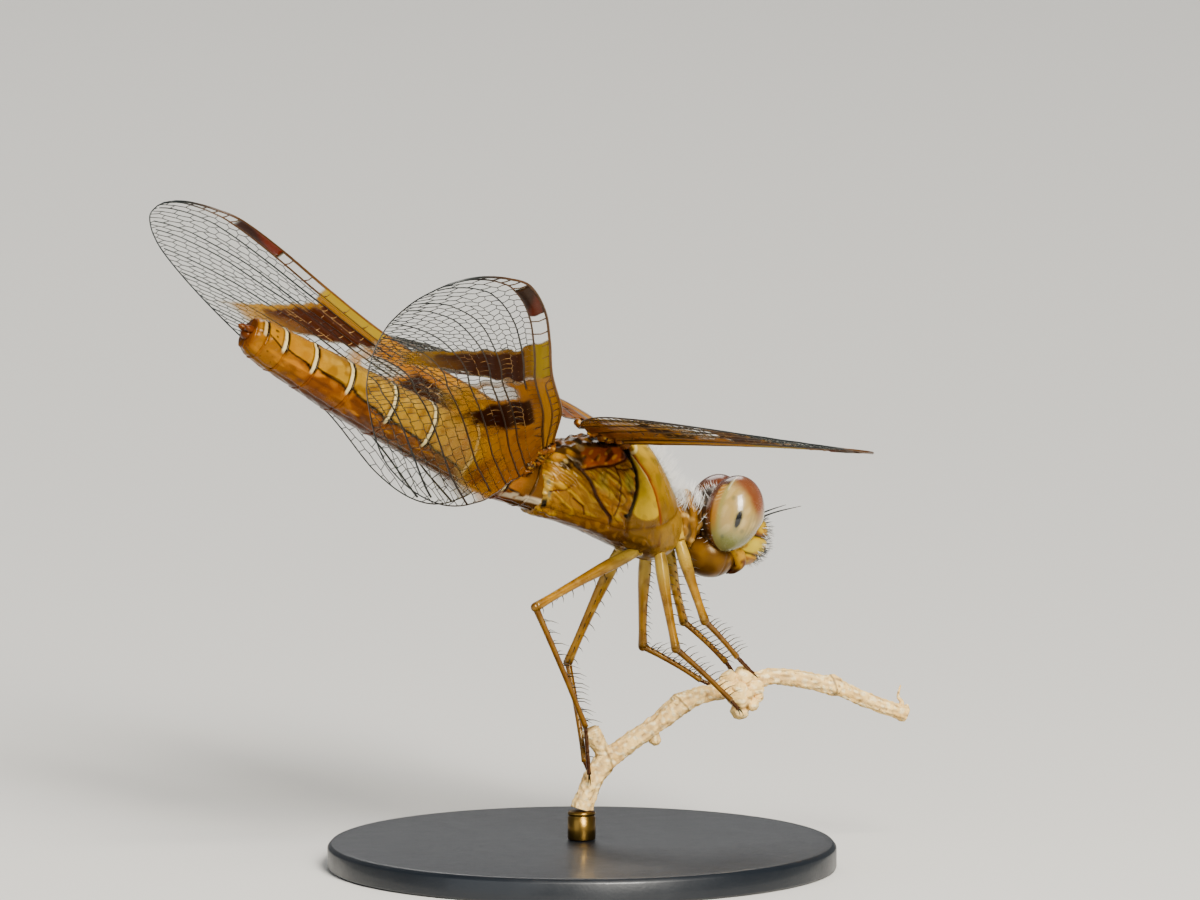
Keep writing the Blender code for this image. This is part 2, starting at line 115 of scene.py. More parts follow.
def new_look(name, colour, roughness, grains, bump, metallic=0.0, coat=0.0, coat_rough=0.1,
             rough_swing=0.15, shine=0.25, tint=(1.0, 1.0, 1.0)):
    """A Principled material whose colour, painted on the mesh or plain, is toned by the grain.

    colour is an attribute's name or linear RGB; grains the grain group's (coarse, fine, contrast);
    bump the height of the relief in millimetres; shine and tint the strength and colour of the
    plain reflection; roughness swings by rough_swing with the grain's height."""
    look = bpy.data.materials.new(name)
    look.use_nodes = True
    tree = look.node_tree
    noise = add_node(tree, "ShaderNodeGroup", dict(zip(("Coarse", "Fine", "Contrast"), grains)),
                     node_tree=grain)
    height = noise.outputs["Height"]
    if isinstance(colour, str):
        colour = add_node(tree, "ShaderNodeAttribute", attribute_name=colour).outputs["Color"]
    toned = add_node(tree, "ShaderNodeVectorMath", {0: colour, "Scale": noise.outputs["Tone"]},
                     operation="SCALE")
    spread = add_node(tree, "ShaderNodeMapRange", {
        "Value": height, "From Min": 0.4, "From Max": 1.1,
        "To Min": roughness - rough_swing / 2, "To Max": roughness + rough_swing / 2})
    relief = add_node(tree, "ShaderNodeBump",
                      {"Height": height, "Strength": 0.6, "Distance": bump * MM})
    plug(tree, tree.nodes["Principled BSDF"], {
        "Base Color": toned.outputs[0], "Roughness": spread.outputs["Result"],
        "Normal": relief.outputs["Normal"], "Metallic": metallic, "Specular IOR Level": shine,
        "Specular Tint": (*tint, 1.0), "Coat Weight": coat, "Coat Roughness": coat_rough})
    return look


rod_low, rod_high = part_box("stand_rod")
STEM_FOOT = np.array((-0.50, 0.60, -14.30))     # where the perch stands on the rod
FOOT_GAP = np.array((0.0, 0.0, 0.04))           # and how far above the rod's top
rod_top = np.array(((rod_low.x + rod_high.x) / 2, (rod_low.y + rod_high.y) / 2, rod_high.z)) / MM
BODY_ORIGIN = rod_top + FOOT_GAP - STEM_FOOT


def in_place(points):
    """Millimetres from the body's midline, moved to where the solids stand, in metres."""
    return (np.asarray(points, float) + BODY_ORIGIN) * MM


def ring_turns(count):
    """Angles of points that are spread evenly round a ring."""
    return np.arange(count) * 2 * math.pi / count


def grid_faces(rows, columns, around):
    """Corner numbers of the quads of a grid; `around` joins its last column to its first."""
    grid = np.arange(rows * columns).reshape(rows, columns)
    if around:
        grid = np.column_stack([grid, grid[:, 0]])
    corners = (grid[:-1, :-1], grid[:-1, 1:], grid[1:, 1:], grid[1:, :-1])
    return np.stack(corners, -1).reshape(-1, 4)


def closed_grid(points):
    """A grid of rings as flat points and faces, each end ring closed by a fan to its middle."""
    rows, columns = points.shape[:2]
    flat = np.vstack([points.reshape(-1, 3), points[0].mean(0), points[-1].mean(0)])
    k = np.arange(columns)
    after, last = (k + 1) % columns, (rows - 1) * columns
    near = np.stack([after, k, np.full(columns, rows * columns)], -1)
    far = np.stack([last + k, last + after, np.full(columns, rows * columns + 1)], -1)
    return flat, [grid_faces(rows, columns, True), near, far]


def enclosed(points, faces):
    """Signed volume inside a closed mesh: the sum of a.(b x c) / 6 over its faces' triangles."""
    total = 0.0
    for group in faces:
        for k in range(1, group.shape[1] - 1):
            a, b, c = points[group[:, 0]], points[group[:, k]], points[group[:, k + 1]]
            total += np.einsum("ij,ij->", a, np.cross(b, c)) / 6
    return total


def placed(name, data):
    """A new object with its data, linked to the scene."""
    item = bpy.data.objects.new(name, data)
    bpy.context.scene.collection.objects.link(item)
    return item


def new_piece(name, shape, look, slot, nodes=(), paint=None):
    """One mesh object from millimetre points and faces, facing outwards, on the root body.

    nodes are the solids that it replaces; paint maps an attribute's name to one linear colour for
    each point."""
    points, faces = shape
    if enclosed(points, faces) < 0:
        faces = [group[:, ::-1] for group in faces]
    mesh = bpy.data.meshes.new(name)
    mesh.vertices.add(len(points))
    mesh.vertices.foreach_set("co", in_place(points).astype(np.float32).ravel())
    corners = np.concatenate([group.ravel() for group in faces])
    sizes = np.concatenate([np.full(len(group), group.shape[1]) for group in faces])
    mesh.loops.add(len(corners))
    mesh.loops.foreach_set("vertex_index", corners.astype(np.int32))
    mesh.polygons.add(len(sizes))
    mesh.polygons.foreach_set("loop_start", (np.cumsum(sizes) - sizes).astype(np.int32))
    mesh.polygons.foreach_set("use_smooth", np.ones(len(sizes), bool))
    mesh.update(calc_edges=True)
    for title, colours in (paint or {}).items():
        layer = mesh.attributes.new(title, "FLOAT_COLOR", "POINT")
        opaque = np.column_stack([colours, np.ones(len(points))])
        layer.data.foreach_set("color", opaque.astype(np.float32).ravel())
    mesh.materials.append(look)
    item = placed(name, mesh)
    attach(item, "root")
    if nodes:
        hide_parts(*nodes)
    return item


def lathe(node, profile, sides):
    """A turned solid that fills a node's round box: one ring of points for each (inset from the
    rim, share of the height) of the profile."""
    low, high = (np.array(corner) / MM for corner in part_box(node))
    middle, size = (low + high) / 2 - BODY_ORIGIN, high - low
    turn = ring_turns(sides)
    inset, share = np.array(profile).T[..., None]
    radius = size[:2].min() / 2 - inset
    rings = np.stack([radius * np.cos(turn), radius * np.sin(turn),
                      (share - 0.5) * size[2] + 0 * turn], -1)
    return closed_grid(rings + middle)


painted_plate = new_look("painted_plate", hexed("2A2A2C"), 0.42, (900.0, 9000.0, 0.25), 0.015,
                         coat=0.2, shine=0.5)
turned_brass = new_look("turned_brass", hexed("B8904A"), 0.30, (400.0, 5000.0, 0.3), 0.01,
                        metallic=1.0, shine=0.5)
PLATE_PROFILE = ((0.5, 0.0), (0.14, 0.0), (0.10, 0.01), (0.0, 0.10), (0.0, 0.12), (0.0, 0.82),
                 (0.02, 0.86), (0.13, 0.985), (0.17, 1.0), (0.45, 1.0), (3.0, 1.0))
ROD_PROFILE = ((0.2, 0.0), (0.02, 0.0), (0.0, 0.02), (0.0, 0.80), (0.04, 0.82), (0.04, 0.86),
               (0.0, 0.88), (0.0, 0.95), (0.05, 0.995), (0.08, 1.0), (0.25, 1.0))
new_piece("stand_plate_turned", lathe("stand_base", PLATE_PROFILE, 192), painted_plate,
          "stand_plate", ["stand_base"])
new_piece("stand_post_turned", lathe("stand_rod", ROD_PROFILE, 96), turned_brass, "stand_post",
          ["stand_rod"])

# ------------------------------------------------------------------------------------------------
# Perch: a dry, pale stem with swollen nodes, a broken side twig, a thorn, a torn spike at its end
# and a cluster of gall lumps that the feet hold.  Bark is ridged along the stem and flecked.
# ------------------------------------------------------------------------------------------------
STEM_SWELL = 1.13           # the bark's share of the bare stem's radius
# x, y, z and radius along the stem, from its foot on the rod to the broken tip.
STEM = np.array((
    (-0.50, 0.60, -14.30, 0.36), (-0.28, 0.59, -13.72, 0.35), (0.02, 0.57, -13.10, 0.36),
    (0.60, 0.52, -12.36, 0.38), (1.15, 0.48, -12.00, 0.33), (1.70, 0.44, -11.66, 0.33),
    (2.30, 0.39, -11.33, 0.32), (2.86, 0.33, -10.98, 0.33), (3.45, 0.27, -10.53, 0.37),
    (3.85, 0.22, -10.28, 0.36), (4.45, 0.16, -10.08, 0.29), (5.12, 0.10, -9.95, 0.29),
    (6.25, 0.00, -9.65, 0.33), (7.10, -0.05, -9.53, 0.29), (7.95, -0.10, -9.50, 0.28),
    (9.20, -0.15, -9.75, 0.29), (9.85, -0.18, -9.88, 0.29), (10.30, -0.20, -10.00, 0.35),
    (10.70, -0.22, -10.18, 0.28), (11.60, -0.25, -10.60, 0.27), (12.60, -0.28, -11.00, 0.26),
    (13.46, -0.30, -11.34, 0.27))) * (1, 1, 1, STEM_SWELL)
# The same along the side twigs, the torn spike, the buds and the splinter at the tip.
SIDE_SHOOTS = (
    ((0.60, 0.52, -12.36, 0.32), (0.28, 0.53, -11.85, 0.31),
     (0.00, 0.54, -11.40, 0.36), (-0.14, 0.55, -11.14, 0.35)),
    ((2.50, 0.37, -11.20, 0.22), (2.60, 0.38, -11.52, 0.21),
     (2.68, 0.40, -11.76, 0.24), (2.72, 0.40, -11.92, 0.12)),
    ((13.20, -0.30, -11.25, 0.20), (13.30, -0.30, -10.85, 0.09),
     (13.14, -0.30, -10.60, 0.06), (13.25, -0.30, -10.16, 0.03)),
    ((3.60, 0.20, -10.40, 0.30), (3.52, 0.16, -10.14, 0.27),
     (3.46, 0.14, -10.02, 0.22), (3.44, 0.13, -9.92, 0.10)),
    ((3.90, 0.20, -10.24, 0.30), (3.88, 0.18, -10.02, 0.25),
     (3.88, 0.16, -9.93, 0.19), (3.88, 0.16, -9.86, 0.08)),
    ((7.60, -0.06, -9.50, 0.28), (7.60, -0.06, -9.30, 0.20),
     (7.60, -0.06, -9.20, 0.14), (7.60, -0.06, -9.16, 0.05)),
    ((10.40, -0.2, -10.02, 0.30), (10.44, -0.2, -9.84, 0.26),
     (10.46, -0.2, -9.74, 0.20), (10.46, -0.2, -9.68, 0.08)),
    ((13.30, -0.30, -11.28, 0.22), (13.50, -0.26, -11.12, 0.15),
     (13.58, -0.24, -11.00, 0.07), (13.60, -0.24, -10.95, 0.03)),
)
# The same of each round lump of the gall.
GALL_LUMPS = np.array((
    (6.10, -0.18, -10.15, 0.50), (6.70, 0.20, -10.35, 0.44), (5.85, 0.15, -9.55, 0.42),
    (6.35, -0.10, -9.35, 0.38), (6.80, -0.12, -9.80, 0.40), (6.25, 0.05, -10.75, 0.36),
    (6.62, -0.34, -10.48, 0.26), (6.02, -0.36, -9.78, 0.28), (6.50, 0.30, -9.30, 0.28),
    (5.78, -0.12, -9.98, 0.24), (6.95, -0.18, -10.20, 0.22), (6.36, -0.46, -10.02, 0.22)))
# x, z and slant of the dark ring scars at the stem's nodes.
NODE_SCARS = ((3.72, -10.36, 0.9), (10.22, -9.98, 0.2), (0.52, -12.30, 0.3))


def spline(stops, count):
    """Catmull-Rom curve through the stops: each span blends its four nearest stops by cubics."""
    stops = np.asarray(stops, float)
    padded = np.vstack([2 * stops[0] - stops[1], stops, 2 * stops[-1] - stops[-2]])
    at = np.linspace(0, len(stops) - 1, count)
    k = np.minimum(at.astype(int), len(stops) - 2)
    s = (at - k)[:, None]
    a, b, c, d = (padded[k + j] for j in range(4))
    return 0.5 * (2 * b + (c - a) * s + (2 * a - 5 * b + 4 * c - d) * s ** 2
                  + (3 * b - a - 3 * c + d) * s ** 3)


def waves(points, length, seed, count=10):
    """Soft noise from -1 to 1: the mean of sine waves of about one length in random directions."""
    rng = np.random.default_rng(seed)
    way = rng.normal(size=(count, 3))
    rate = 2 * math.pi / length * rng.uniform(0.6, 1.6, count) / np.linalg.norm(way, axis=1)
    way *= rate[:, None]
    return np.sin(points @ way.T + rng.uniform(0, 6.28, count)).sum(-1) / math.sqrt(count) * 0.8


def unit(ways):
    """Vectors scaled to length 1."""
    return ways / (np.linalg.norm(ways, axis=-1, keepdims=True) + 1e-12)


def tubes(paths, radii, sides, upright):
    """Many round bars at once: paths (bars, rings, 3), radii (bars, rings).

    Each ring lies across its bar's direction, found from the neighbouring points, and starts from
    the side of the upright vector; both ends are closed by one flat face."""
    paths, radii = np.asarray(paths, float), np.asarray(radii, float)
    bars, rings = radii.shape
    way = unit(np.gradient(paths, axis=1))
    side = unit(np.cross(way, np.broadcast_to(upright, way.shape)))
    up = np.cross(side, way)
    turn = ring_turns(sides)[:, None]
    ring = side[:, :, None] * np.cos(turn) + up[:, :, None] * np.sin(turn)
    points = paths[:, :, None] + ring * radii[:, :, None, None]
    base = (np.arange(bars) * rings * sides)[:, None, None]
    walls = (grid_faces(rings, sides, True)[None] + base).reshape(-1, 4)
    cap = np.arange(sides)[None] + base[:, 0]
    return points.reshape(-1, 3), [walls, cap[:, ::-1], cap + (rings - 1) * sides]


def round_bar(path, sides, upright):
    """One round bar along rows of x, y, z and radius."""
    return tubes(path[None, :, :3], path[None, :, 3], sides, upright)


def joined(parts):
    """Several (points, faces) lists as one, with the corner numbers moved along."""
    points, faces, start = [], [], 0
    for some, groups in parts:
        faces += [group + start for group in groups]
        points.append(some)
        start += len(some)
    return np.vstack(points), faces


def over(base, colour, mask):
    """Lay a colour over painted points, by a mask from 0 to 1."""
    return base + (np.asarray(colour) - base) * np.clip(mask, 0, 1)[..., None]


def ramp(value, low, high):
    """0 below low, 1 above high, with a smooth step s^2 (3 - 2 s) between; it may run downwards."""
    s = np.clip((value - low) / (high - low), 0, 1)
    return s * s * (3 - 2 * s)


def painted(base, layers):
    """A colour under layers of colour that are laid on in order, each through its mask; a colour is
    a six-digit code or linear RGB."""
    linear = hexed(base) if isinstance(base, str) else base
    for colour, mask in layers:
        linear = over(linear, hexed(colour) if isinstance(colour, str) else colour, mask)
    return linear


def blotches(points, length, seed, low, high):
    """Mask of soft blotches: wave noise of one length, stepped between two of its levels."""
    return ramp(waves(points, length, seed), low, high)


def stem_bark(path, count, sides, seed):
    """A stem along a path: its radius swells by long ridges, short lumps and fibres, which are wave
    noise stretched along the stem; the fibres' height comes back too, for the paint."""
    line = spline(path, count)
    points, faces = round_bar(line, sides, (0.1, 1.0, 0.05))
    axis = np.repeat(line[:, :3], sides, axis=0)
    out = points - axis
    turn = np.tile(ring_turns(sides), count)
    run = np.repeat(np.linspace(0, 1, count), sides)
    ridges = np.sin(turn * 5 + 6 * np.sin(run * 9 + seed)) * 0.035
    ridges += np.sin(turn * 9 - run * 30) * 0.02
    lumps = waves(points, 0.9, seed) * 0.06 + waves(points, 0.3, seed + 1) * 0.06
    unrolled = np.stack([np.cos(turn) * 0.34, np.sin(turn) * 0.34, run * count * 0.006], -1)
    fibres = waves(unrolled, 0.16, seed + 2)
    return axis + out * (1 + ridges + lumps + 0.045 * fibres)[:, None], faces, fibres


def globe(rows, columns, reach):
    """Elevation e from -reach to reach up the rows, azimuth a round them, and their directions,
    which are (cos e cos a, cos e sin a, sin e)."""
    rise, turn = np.meshgrid(np.linspace(-reach, reach, rows), ring_turns(columns), indexing="ij")
    level = np.cos(rise)
    return rise, turn, np.stack([level * np.cos(turn), level * np.sin(turn), np.sin(rise)], -1)


def gall(lump, seed):
    """A round lump: a sphere whose radius is changed by two sizes of wave noise."""
    out = globe(22, 30, 1.5)[2]
    bumps = 0.10 * waves(out * lump[3], 0.5, seed)
    dimples = 0.05 * waves(out * lump[3], 0.18, seed + 3)
    return closed_grid(lump[:3] + out * (lump[3] * (0.98 + bumps + dimples))[..., None])


def bark_paint(points, seed):
    """Beige bark, paler on its ridges, with tan weathering, brown streaks and dark cracks."""
    return painted(1.3 * hexed("FBDA90"), (
        (1.25 * hexed("ECC274"), blotches(points, 1.4, seed, -0.1, 0.8) * 0.7),
        (1.35 * hexed("FFEEBC"), blotches(points, 0.30, seed + 1, 0.1, 0.8) * 0.8),
        ("C09A68", blotches(points * (1.6, 1.6, 0.8), 0.28, seed + 3, 0.6, 1.2) * 0.45),
        ("8A5C34", blotches(points, 0.20, seed + 2, 1.0, 1.4) * 0.65),
    ))


bark = new_look("dry_bark", "coat", 0.82, (2500.0, 14000.0, 0.6), 0.12, rough_swing=0.2, shine=0.15)
stems = [stem_bark(STEM, 640, 64, 5)]
stems += [stem_bark(path, 60, 32, 20 + k) for k, path in enumerate(SIDE_SHOOTS)]
stem_points, stem_faces = joined([stem[:2] for stem in stems])
fibres = np.concatenate([stem[2] for stem in stems])
stem_points[:, 2] = np.maximum(stem_points[:, 2], STEM[0, 2])
stem_coat = bark_paint(stem_points, 3)
stem_coat = painted(stem_coat, (
    ("D8B078", ramp(fibres, 0.2, -0.7) * 0.55),
    ("A07848", ramp(fibres, -0.8, -1.3) * 0.5),
))
for scar_x, scar_z, slant in NODE_SCARS:
    past, up = stem_points[:, 0] - scar_x, stem_points[:, 2] - scar_z
    ring = ramp(np.abs(past + slant * up), 0.08, 0.02) * ramp(np.hypot(past, up), 0.85, 0.45)
    stem_coat = over(stem_coat, hexed("5E3414"), ring * 0.55)
new_piece("perch_stem", (stem_points, stem_faces), bark, "twig", ["twig"], {"coat": stem_coat})
gall_points, gall_faces = joined([gall(lump, 40 + k) for k, lump in enumerate(GALL_LUMPS)])
new_piece("perch_gall", (gall_points, gall_faces), bark, "twig", (),
          {"coat": bark_paint(gall_points, 8)})

# ------------------------------------------------------------------------------------------------
# Thorax: one hard amber shell that carries wings and legs, its plates pressed out between dark
# sewn-looking seams, wrinkled where it gives in flight, and low and lumpy between the wings.
# ------------------------------------------------------------------------------------------------
# x, top, underside and half width of the shell's sections.
THORAX_SECTIONS = (
    (-3.25, -0.45, -2.25, 0.85), (-2.90, 0.10, -2.40, 1.20), (-2.10, 0.45, -2.65, 1.52),
    (-1.00, 0.58, -3.08, 1.74), (0.00, 0.60, -3.55, 1.80), (1.00, 0.48, -4.05, 1.74),
    (1.90, 0.15, -4.38, 1.55), (2.50, -0.65, -4.40, 1.30), (3.00, -1.60, -4.15, 0.98),
    (3.36, -2.40, -3.75, 0.62))
# Seams on the flank as (x, z) lines.
SHOULDER_SEAM = ((0.62, 0.25), (0.71, -0.10), (0.86, -0.67), (0.84, -1.23), (0.57, -1.98),
                 (0.33, -2.66), (0.45, -3.2))
REAR_SEAM = ((-1.75, -0.30), (-1.53, -0.51), (-1.28, -0.91), (-1.08, -1.51), (-0.75, -2.05),
             (-0.38, -2.47), (-0.27, -2.95))
FRONT_SEAM = ((0.80, 0.30), (0.88, -0.03), (1.41, -0.92), (1.66, -1.51), (1.90, -2.59),
              (1.95, -2.95))
UPPER_SEAM = ((-1.53, -0.50), (-0.85, -0.42), (-0.20, -0.42), (0.44, -0.27), (0.70, -0.05))
FINE_SEAMS = (((0.02, -0.55), (0.35, -0.62), (0.69, -0.60)),
              ((-0.05, -0.45), (0.02, -1.1), (-0.10, -1.9), (-0.25, -2.4)),
              ((0.04, -1.45), (0.40, -1.52), (0.80, -1.50)),
              ((-2.85, -1.30), (-2.3, -1.25), (-2.0, -1.05)),
              ((-2.0, -1.6), (-1.6, -1.9), (-1.45, -2.3)))
LOWER_SEAM = ((-2.9, -2.02), (-2.0, -2.35), (-1.0, -2.62), (-0.27, -2.88), (0.35, -3.05),
              (1.2, -3.0), (1.95, -2.95), (2.7, -2.7), (3.2, -2.4))


def ends_too(values):
    """Values of a grid's points, with those of the two middles that close its ends."""
    flat = values.reshape(-1, *values.shape[2:])
    return np.concatenate([flat, values[:1].mean(1), values[-1:].mean(1)])


def shell_piece(name, grid, coat, look, slot, nodes=()):
    """A closed shell from a grid of rings, with a painted colour for each of its points."""
    new_piece(name, closed_grid(grid), look, slot, nodes, {"coat": ends_too(coat)})


def ridge(distance, width):
    """1 on a line, falling off at both sides as exp(-(distance / width)^2)."""
    return np.exp(-(distance / width) ** 2)


def to_line(flat, line):
    """Distance of each (x, z) point from a broken line: the least over its straight stretches."""
    line = np.asarray(line, float)
    start, way = line[:-1], np.diff(line, axis=0)
    from_start = flat[..., None, :] - start
    share = np.clip((from_start * way).sum(-1) / (way ** 2).sum(-1), 0, 1)
    return np.linalg.norm(from_start - share[..., None] * way, axis=-1).min(-1)


def soft_box(angle, power):
    """Cosine and sine of the angle, each raised to the power with its sign kept."""
    c, s = np.cos(angle), np.sin(angle)
    return np.sign(c) * np.abs(c) ** power, np.sign(s) * np.abs(s) ** power


def trunk(sections, rows, columns, power, taper):
    """Rings of rounded boxes along x: half width w, middle and reach of the height come from a
    spline through the sections; width shrinks by the taper towards the top."""
    x, top, low, wide = (part[:, None] for part in spline(sections, rows).T)
    across, rise = soft_box(ring_turns(columns), power)
    wide = np.maximum(wide, 0.05) * across * (1 - taper * np.maximum(rise, 0))
    return np.stack([x + 0 * wide, wide, (top + low) / 2 + (top - low) / 2 * rise], -1)


def outward(grid):
    """Unit normals of a ring grid: the cross product of its two directions, turned away from the
    middle of each ring."""
    around = np.roll(grid, -1, 1) - np.roll(grid, 1, 1)
    way = unit(np.cross(np.gradient(grid, axis=0), around))
    facing = ((grid - grid.mean(1, keepdims=True)) * way).sum(-1, keepdims=True)
    return way * np.where(facing.mean() < 0, -1, 1)


def seam_at(height, line):
    """Place along the body of a seam at each height, between its points."""
    line = np.array(line)[::-1]
    return np.interp(height, line[:, 1], line[:, 0])


shell = trunk(THORAX_SECTIONS, 250, 300, 0.8, 0.3)
flank = shell[..., ::2]
shoulder, rear, front, upper, lower = (to_line(flank, line)
                                       for line in (SHOULDER_SEAM, REAR_SEAM, FRONT_SEAM,
                                                    UPPER_SEAM, LOWER_SEAM))
fine_seam = np.min([to_line(flank, line) for line in FINE_SEAMS], axis=0)
any_seam = np.minimum.reduce([shoulder, rear, front, upper, lower])
x, y, z = np.moveaxis(shell, -1, 0)
past_rear, past_shoulder, past_front = (x - seam_at(z, line)
                                        for line in (REAR_SEAM, SHOULDER_SEAM, FRONT_SEAM))
upper_z = np.interp(x, *np.array(UPPER_SEAM).T)
middle_panel = ramp(past_rear, 0.0, 0.12) * ramp(past_shoulder, 0.0, -0.12)
middle_panel = middle_panel * ramp(z - upper_z, 0.0, -0.12) * ramp(z, -2.8, -2.6)
rear_panel = ramp(past_rear, 0.0, -0.12) * ramp(z, -2.6, -2.3) * ramp(z, 0.1, -0.2)
top_plate = ramp(z - upper_z, 0.0, 0.10) * ramp(z, 0.30, 0.20)
top_plate = top_plate * ramp(x, -1.5, -1.35) * ramp(x, 0.62, 0.50)
between_wings = ramp(z, 0.24, 0.36) * ramp(x, 1.0, 0.8)
front_ridge = ramp(np.abs(y), 0.10, 0.0) * ramp(x, 1.0, 1.3)
# Crumpling: thin creases where two sizes of stretched wave noise pass through zero.
slanted = np.stack([(x + 0.8 * z) * 1.5, y, (x - 0.8 * z) * 0.6], -1)
creased = ridge(waves(slanted, 0.95, 111), 0.11) * 0.9 + ridge(waves(shell, 0.75, 112), 0.08) * 0.6
crumple = np.clip(creased, 0, 1) * (middle_panel + 0.75 * rear_panel
                                    + 0.5 * ramp(z, -2.5, -2.8) * ramp(z, -3.9, -3.6))
dents = waves(slanted, 0.55, 113) * (0.7 * middle_panel + 0.6 * rear_panel)
height = (0.09 * (1 - np.exp(-any_seam / 0.16)) - 0.10
          - 0.06 * ridge(shoulder, 0.07) - 0.06 * ridge(rear, 0.06)
          + 0.03 * (1 - np.exp(-fine_seam / 0.06)) + 0.07 * front_ridge
          - 0.035 * crumple + 0.060 * dents + 0.03 * top_plate * waves(shell, 0.8, 114)
          + 0.06 * between_wings * waves(shell, 0.55, 11) + 0.010 * waves(shell, 0.45, 12))
shell = shell + outward(shell) * height[..., None]

pale_rear = ramp(np.abs(x + 3.0 - 0.10 * (z + 1.2)), 0.34, 0.14)
pale_rear = pale_rear * ramp(z, -1.95, -1.7) * ramp(z, -0.55, -0.85)
side_panel = ramp(past_shoulder, 0.05, 0.12) * ramp(past_front, -0.03, -0.10)
stripe = side_panel * ramp(z, 0.25, 0.05)
stripe *= ramp(np.hypot((x - 1.30) / 0.78, np.minimum(z + 2.15, 0) / 0.52), 1.05, 0.92)
yellow = over(hexed("D8B232"), hexed("F2CC12"), ramp(z, -1.0, -2.2))
front_panel = ramp(past_front, 0.06, 0.14)
root_shade = (ramp(np.hypot((x + 2.0) / 0.75, (z + 0.05) / 0.48), 1.15, 0.75)
              + ramp(np.hypot((x - 0.1) / 0.9, (z - 0.34) / 0.16), 1.1, 0.8))
amber = painted("C4860C", (
    ("A0680A", blotches(shell, 1.1, 14, -0.1, 0.9) * 0.8),
    ("CC9C18", blotches(shell, 0.6, 15, 0.2, 1.0) * 0.6),
    ("A8740A", rear_panel * 0.8),
    # Painted highlights: pale gold on the crests of the dents, and two pale spots on the middle
    # panel.
    ("DCB020", (middle_panel + 0.6 * rear_panel) * ramp(dents, 0.10, 0.5) * 0.8),
    ("C8A83A", middle_panel * ramp(np.hypot(x + 0.75, (z + 1.0) * 0.6), 0.35, 0.1) * 0.8),
    ("C8B440", middle_panel * ramp(np.hypot(x - 0.42, (z + 1.1) * 0.6), 0.30, 0.1) * 0.8),
    ("7A4208", crumple * 0.6),
    # Darker towards the underside: painted shade.
    ("8A540A", ramp(z, -2.3, -3.0 - 0.2 * x) * 0.8),
    ("C8640C", top_plate * 0.85),
    ("F0B040", top_plate * blotches(shell, 0.4, 116, 0.5, 1.0) * 0.8),
    ("4E1A06", top_plate * blotches(shell, 0.5, 117, -0.4, -0.9) * 0.8),
    ("C8A448", pale_rear * blotches(shell, 0.4, 118, -0.7, 0.1) * 0.7),
    ("8C7A58", pale_rear * blotches(shell, 0.3, 119, -0.2, -0.7) * 0.8),
    (yellow, stripe),
    ("B88A28", stripe * blotches(shell, 0.35, 120, 0.5, 1.1) * 0.4),
    ("A8781E", side_panel * (1 - stripe) * ramp(z, -2.2, -2.5) * 0.8),
    ("B88C1E", front_panel * 0.9),
    ("D0AC38", front_panel * ramp(z, -0.9, 0.2) * 0.6),
    ("8A6A14", front_panel * blotches(shell * (1, 1, 0.4), 0.5, 126, 0.1, 0.9) * 0.5),
    ("ACA044", (front_panel * ramp(np.abs(y), 0.75, 0.35) * ramp(z, -0.1, -0.7)
                * ramp(z, -2.4, -1.9) * 0.8)),
    ("9A6A14", front_panel * ramp(np.abs(y), 0.6, 0.95) * ramp(z, -1.5, -2.3) * 0.6),
    ("B0842E", front_panel * ramp(z, -2.35, -2.6) * 0.75),
    ("A8400A", ridge(front, 0.05) * 0.85),
    # A cream line just behind the front seam: a painted highlight along it.
    ("F0DC90", ridge(past_front + 0.09, 0.035) * ramp(z, -1.6, -0.9) * 0.7),
    ("3A2606", ramp(shoulder, 0.14, 0.05) * ramp(z, -3.0, -2.4)),
    ("5A1A04", ramp(rear, 0.11, 0.03) * ramp(z, -2.9, -2.6)),
    ("6A2006", ramp(upper, 0.08, 0.02)),
    ("6E2A06", ramp(fine_seam, 0.055, 0.015) * 0.9),
    ("7A400A", ramp(lower, 0.10, 0.03) * 0.45),
    # Darkest along the bottom: painted shade.
    ("5E2E08", (ramp(z + 0.30 * x + 0.15 * waves(shell, 0.6, 123), -3.0, -3.5)
                * ramp(x, 2.2, 1.6) * 0.8)),
    ("C48C18", ramp(z, -2.5, -2.8) * blotches(shell, 0.5, 125, 0.4, 1.0) * 0.5),
    ("B88A30", (ramp(x, 1.6, 2.2) * ramp(z, -2.7, -3.0)
                * blotches(shell, 0.5, 124, -0.8, 0.2) * 0.9)),
    ("0E0804", (ramp(np.hypot(x - 0.68, z - 0.03), 0.24, 0.14)
                + ramp(np.hypot(x - 0.27, z + 2.42), 0.14, 0.07))),
    ("F0D890", (ramp(np.abs(np.hypot(x - 0.95, z - 0.22) - 0.25), 0.08, 0.03)
                * ramp(x, 0.8, 0.95) * 0.8)),
    ("6A360C", between_wings * 0.85),
    ("2A1206", between_wings * blotches(shell, 0.5, 17, 0.1, -0.5) * 0.9),
    ("A87C38", between_wings * blotches(shell, 0.8, 18, 0.5, 0.9) * ramp(x, -0.4, -0.9) * 0.4),
    ("3A1606", root_shade * blotches(shell, 0.60, 121, 0.8, 0.0) * 0.9),
))
for place_x, place_z, reach in ((-1.34, 0.30, 0.24), (-2.10, -0.16, 0.12)):
    spot = np.hypot(x - place_x, (z - place_z) * 1.2) + 0.05 * waves(shell, 0.45, 122)
    amber = over(amber, hexed("D8B870"), ramp(spot, reach, reach * 0.5) * 0.5)
amber = painted(amber, (
    ("1E1006", (ramp(np.abs(x + 3.02), 0.12, 0.05) * ramp(z, -2.1, -1.9)
                * ramp(z, -1.5, -1.7))),
    ("2A1406", (blotches(shell, 0.20, 19, 0.7, 1.0) * ramp(z, -1.7, -2.2)
                * ramp(x, -1.8, -2.8) * 0.7)),
))

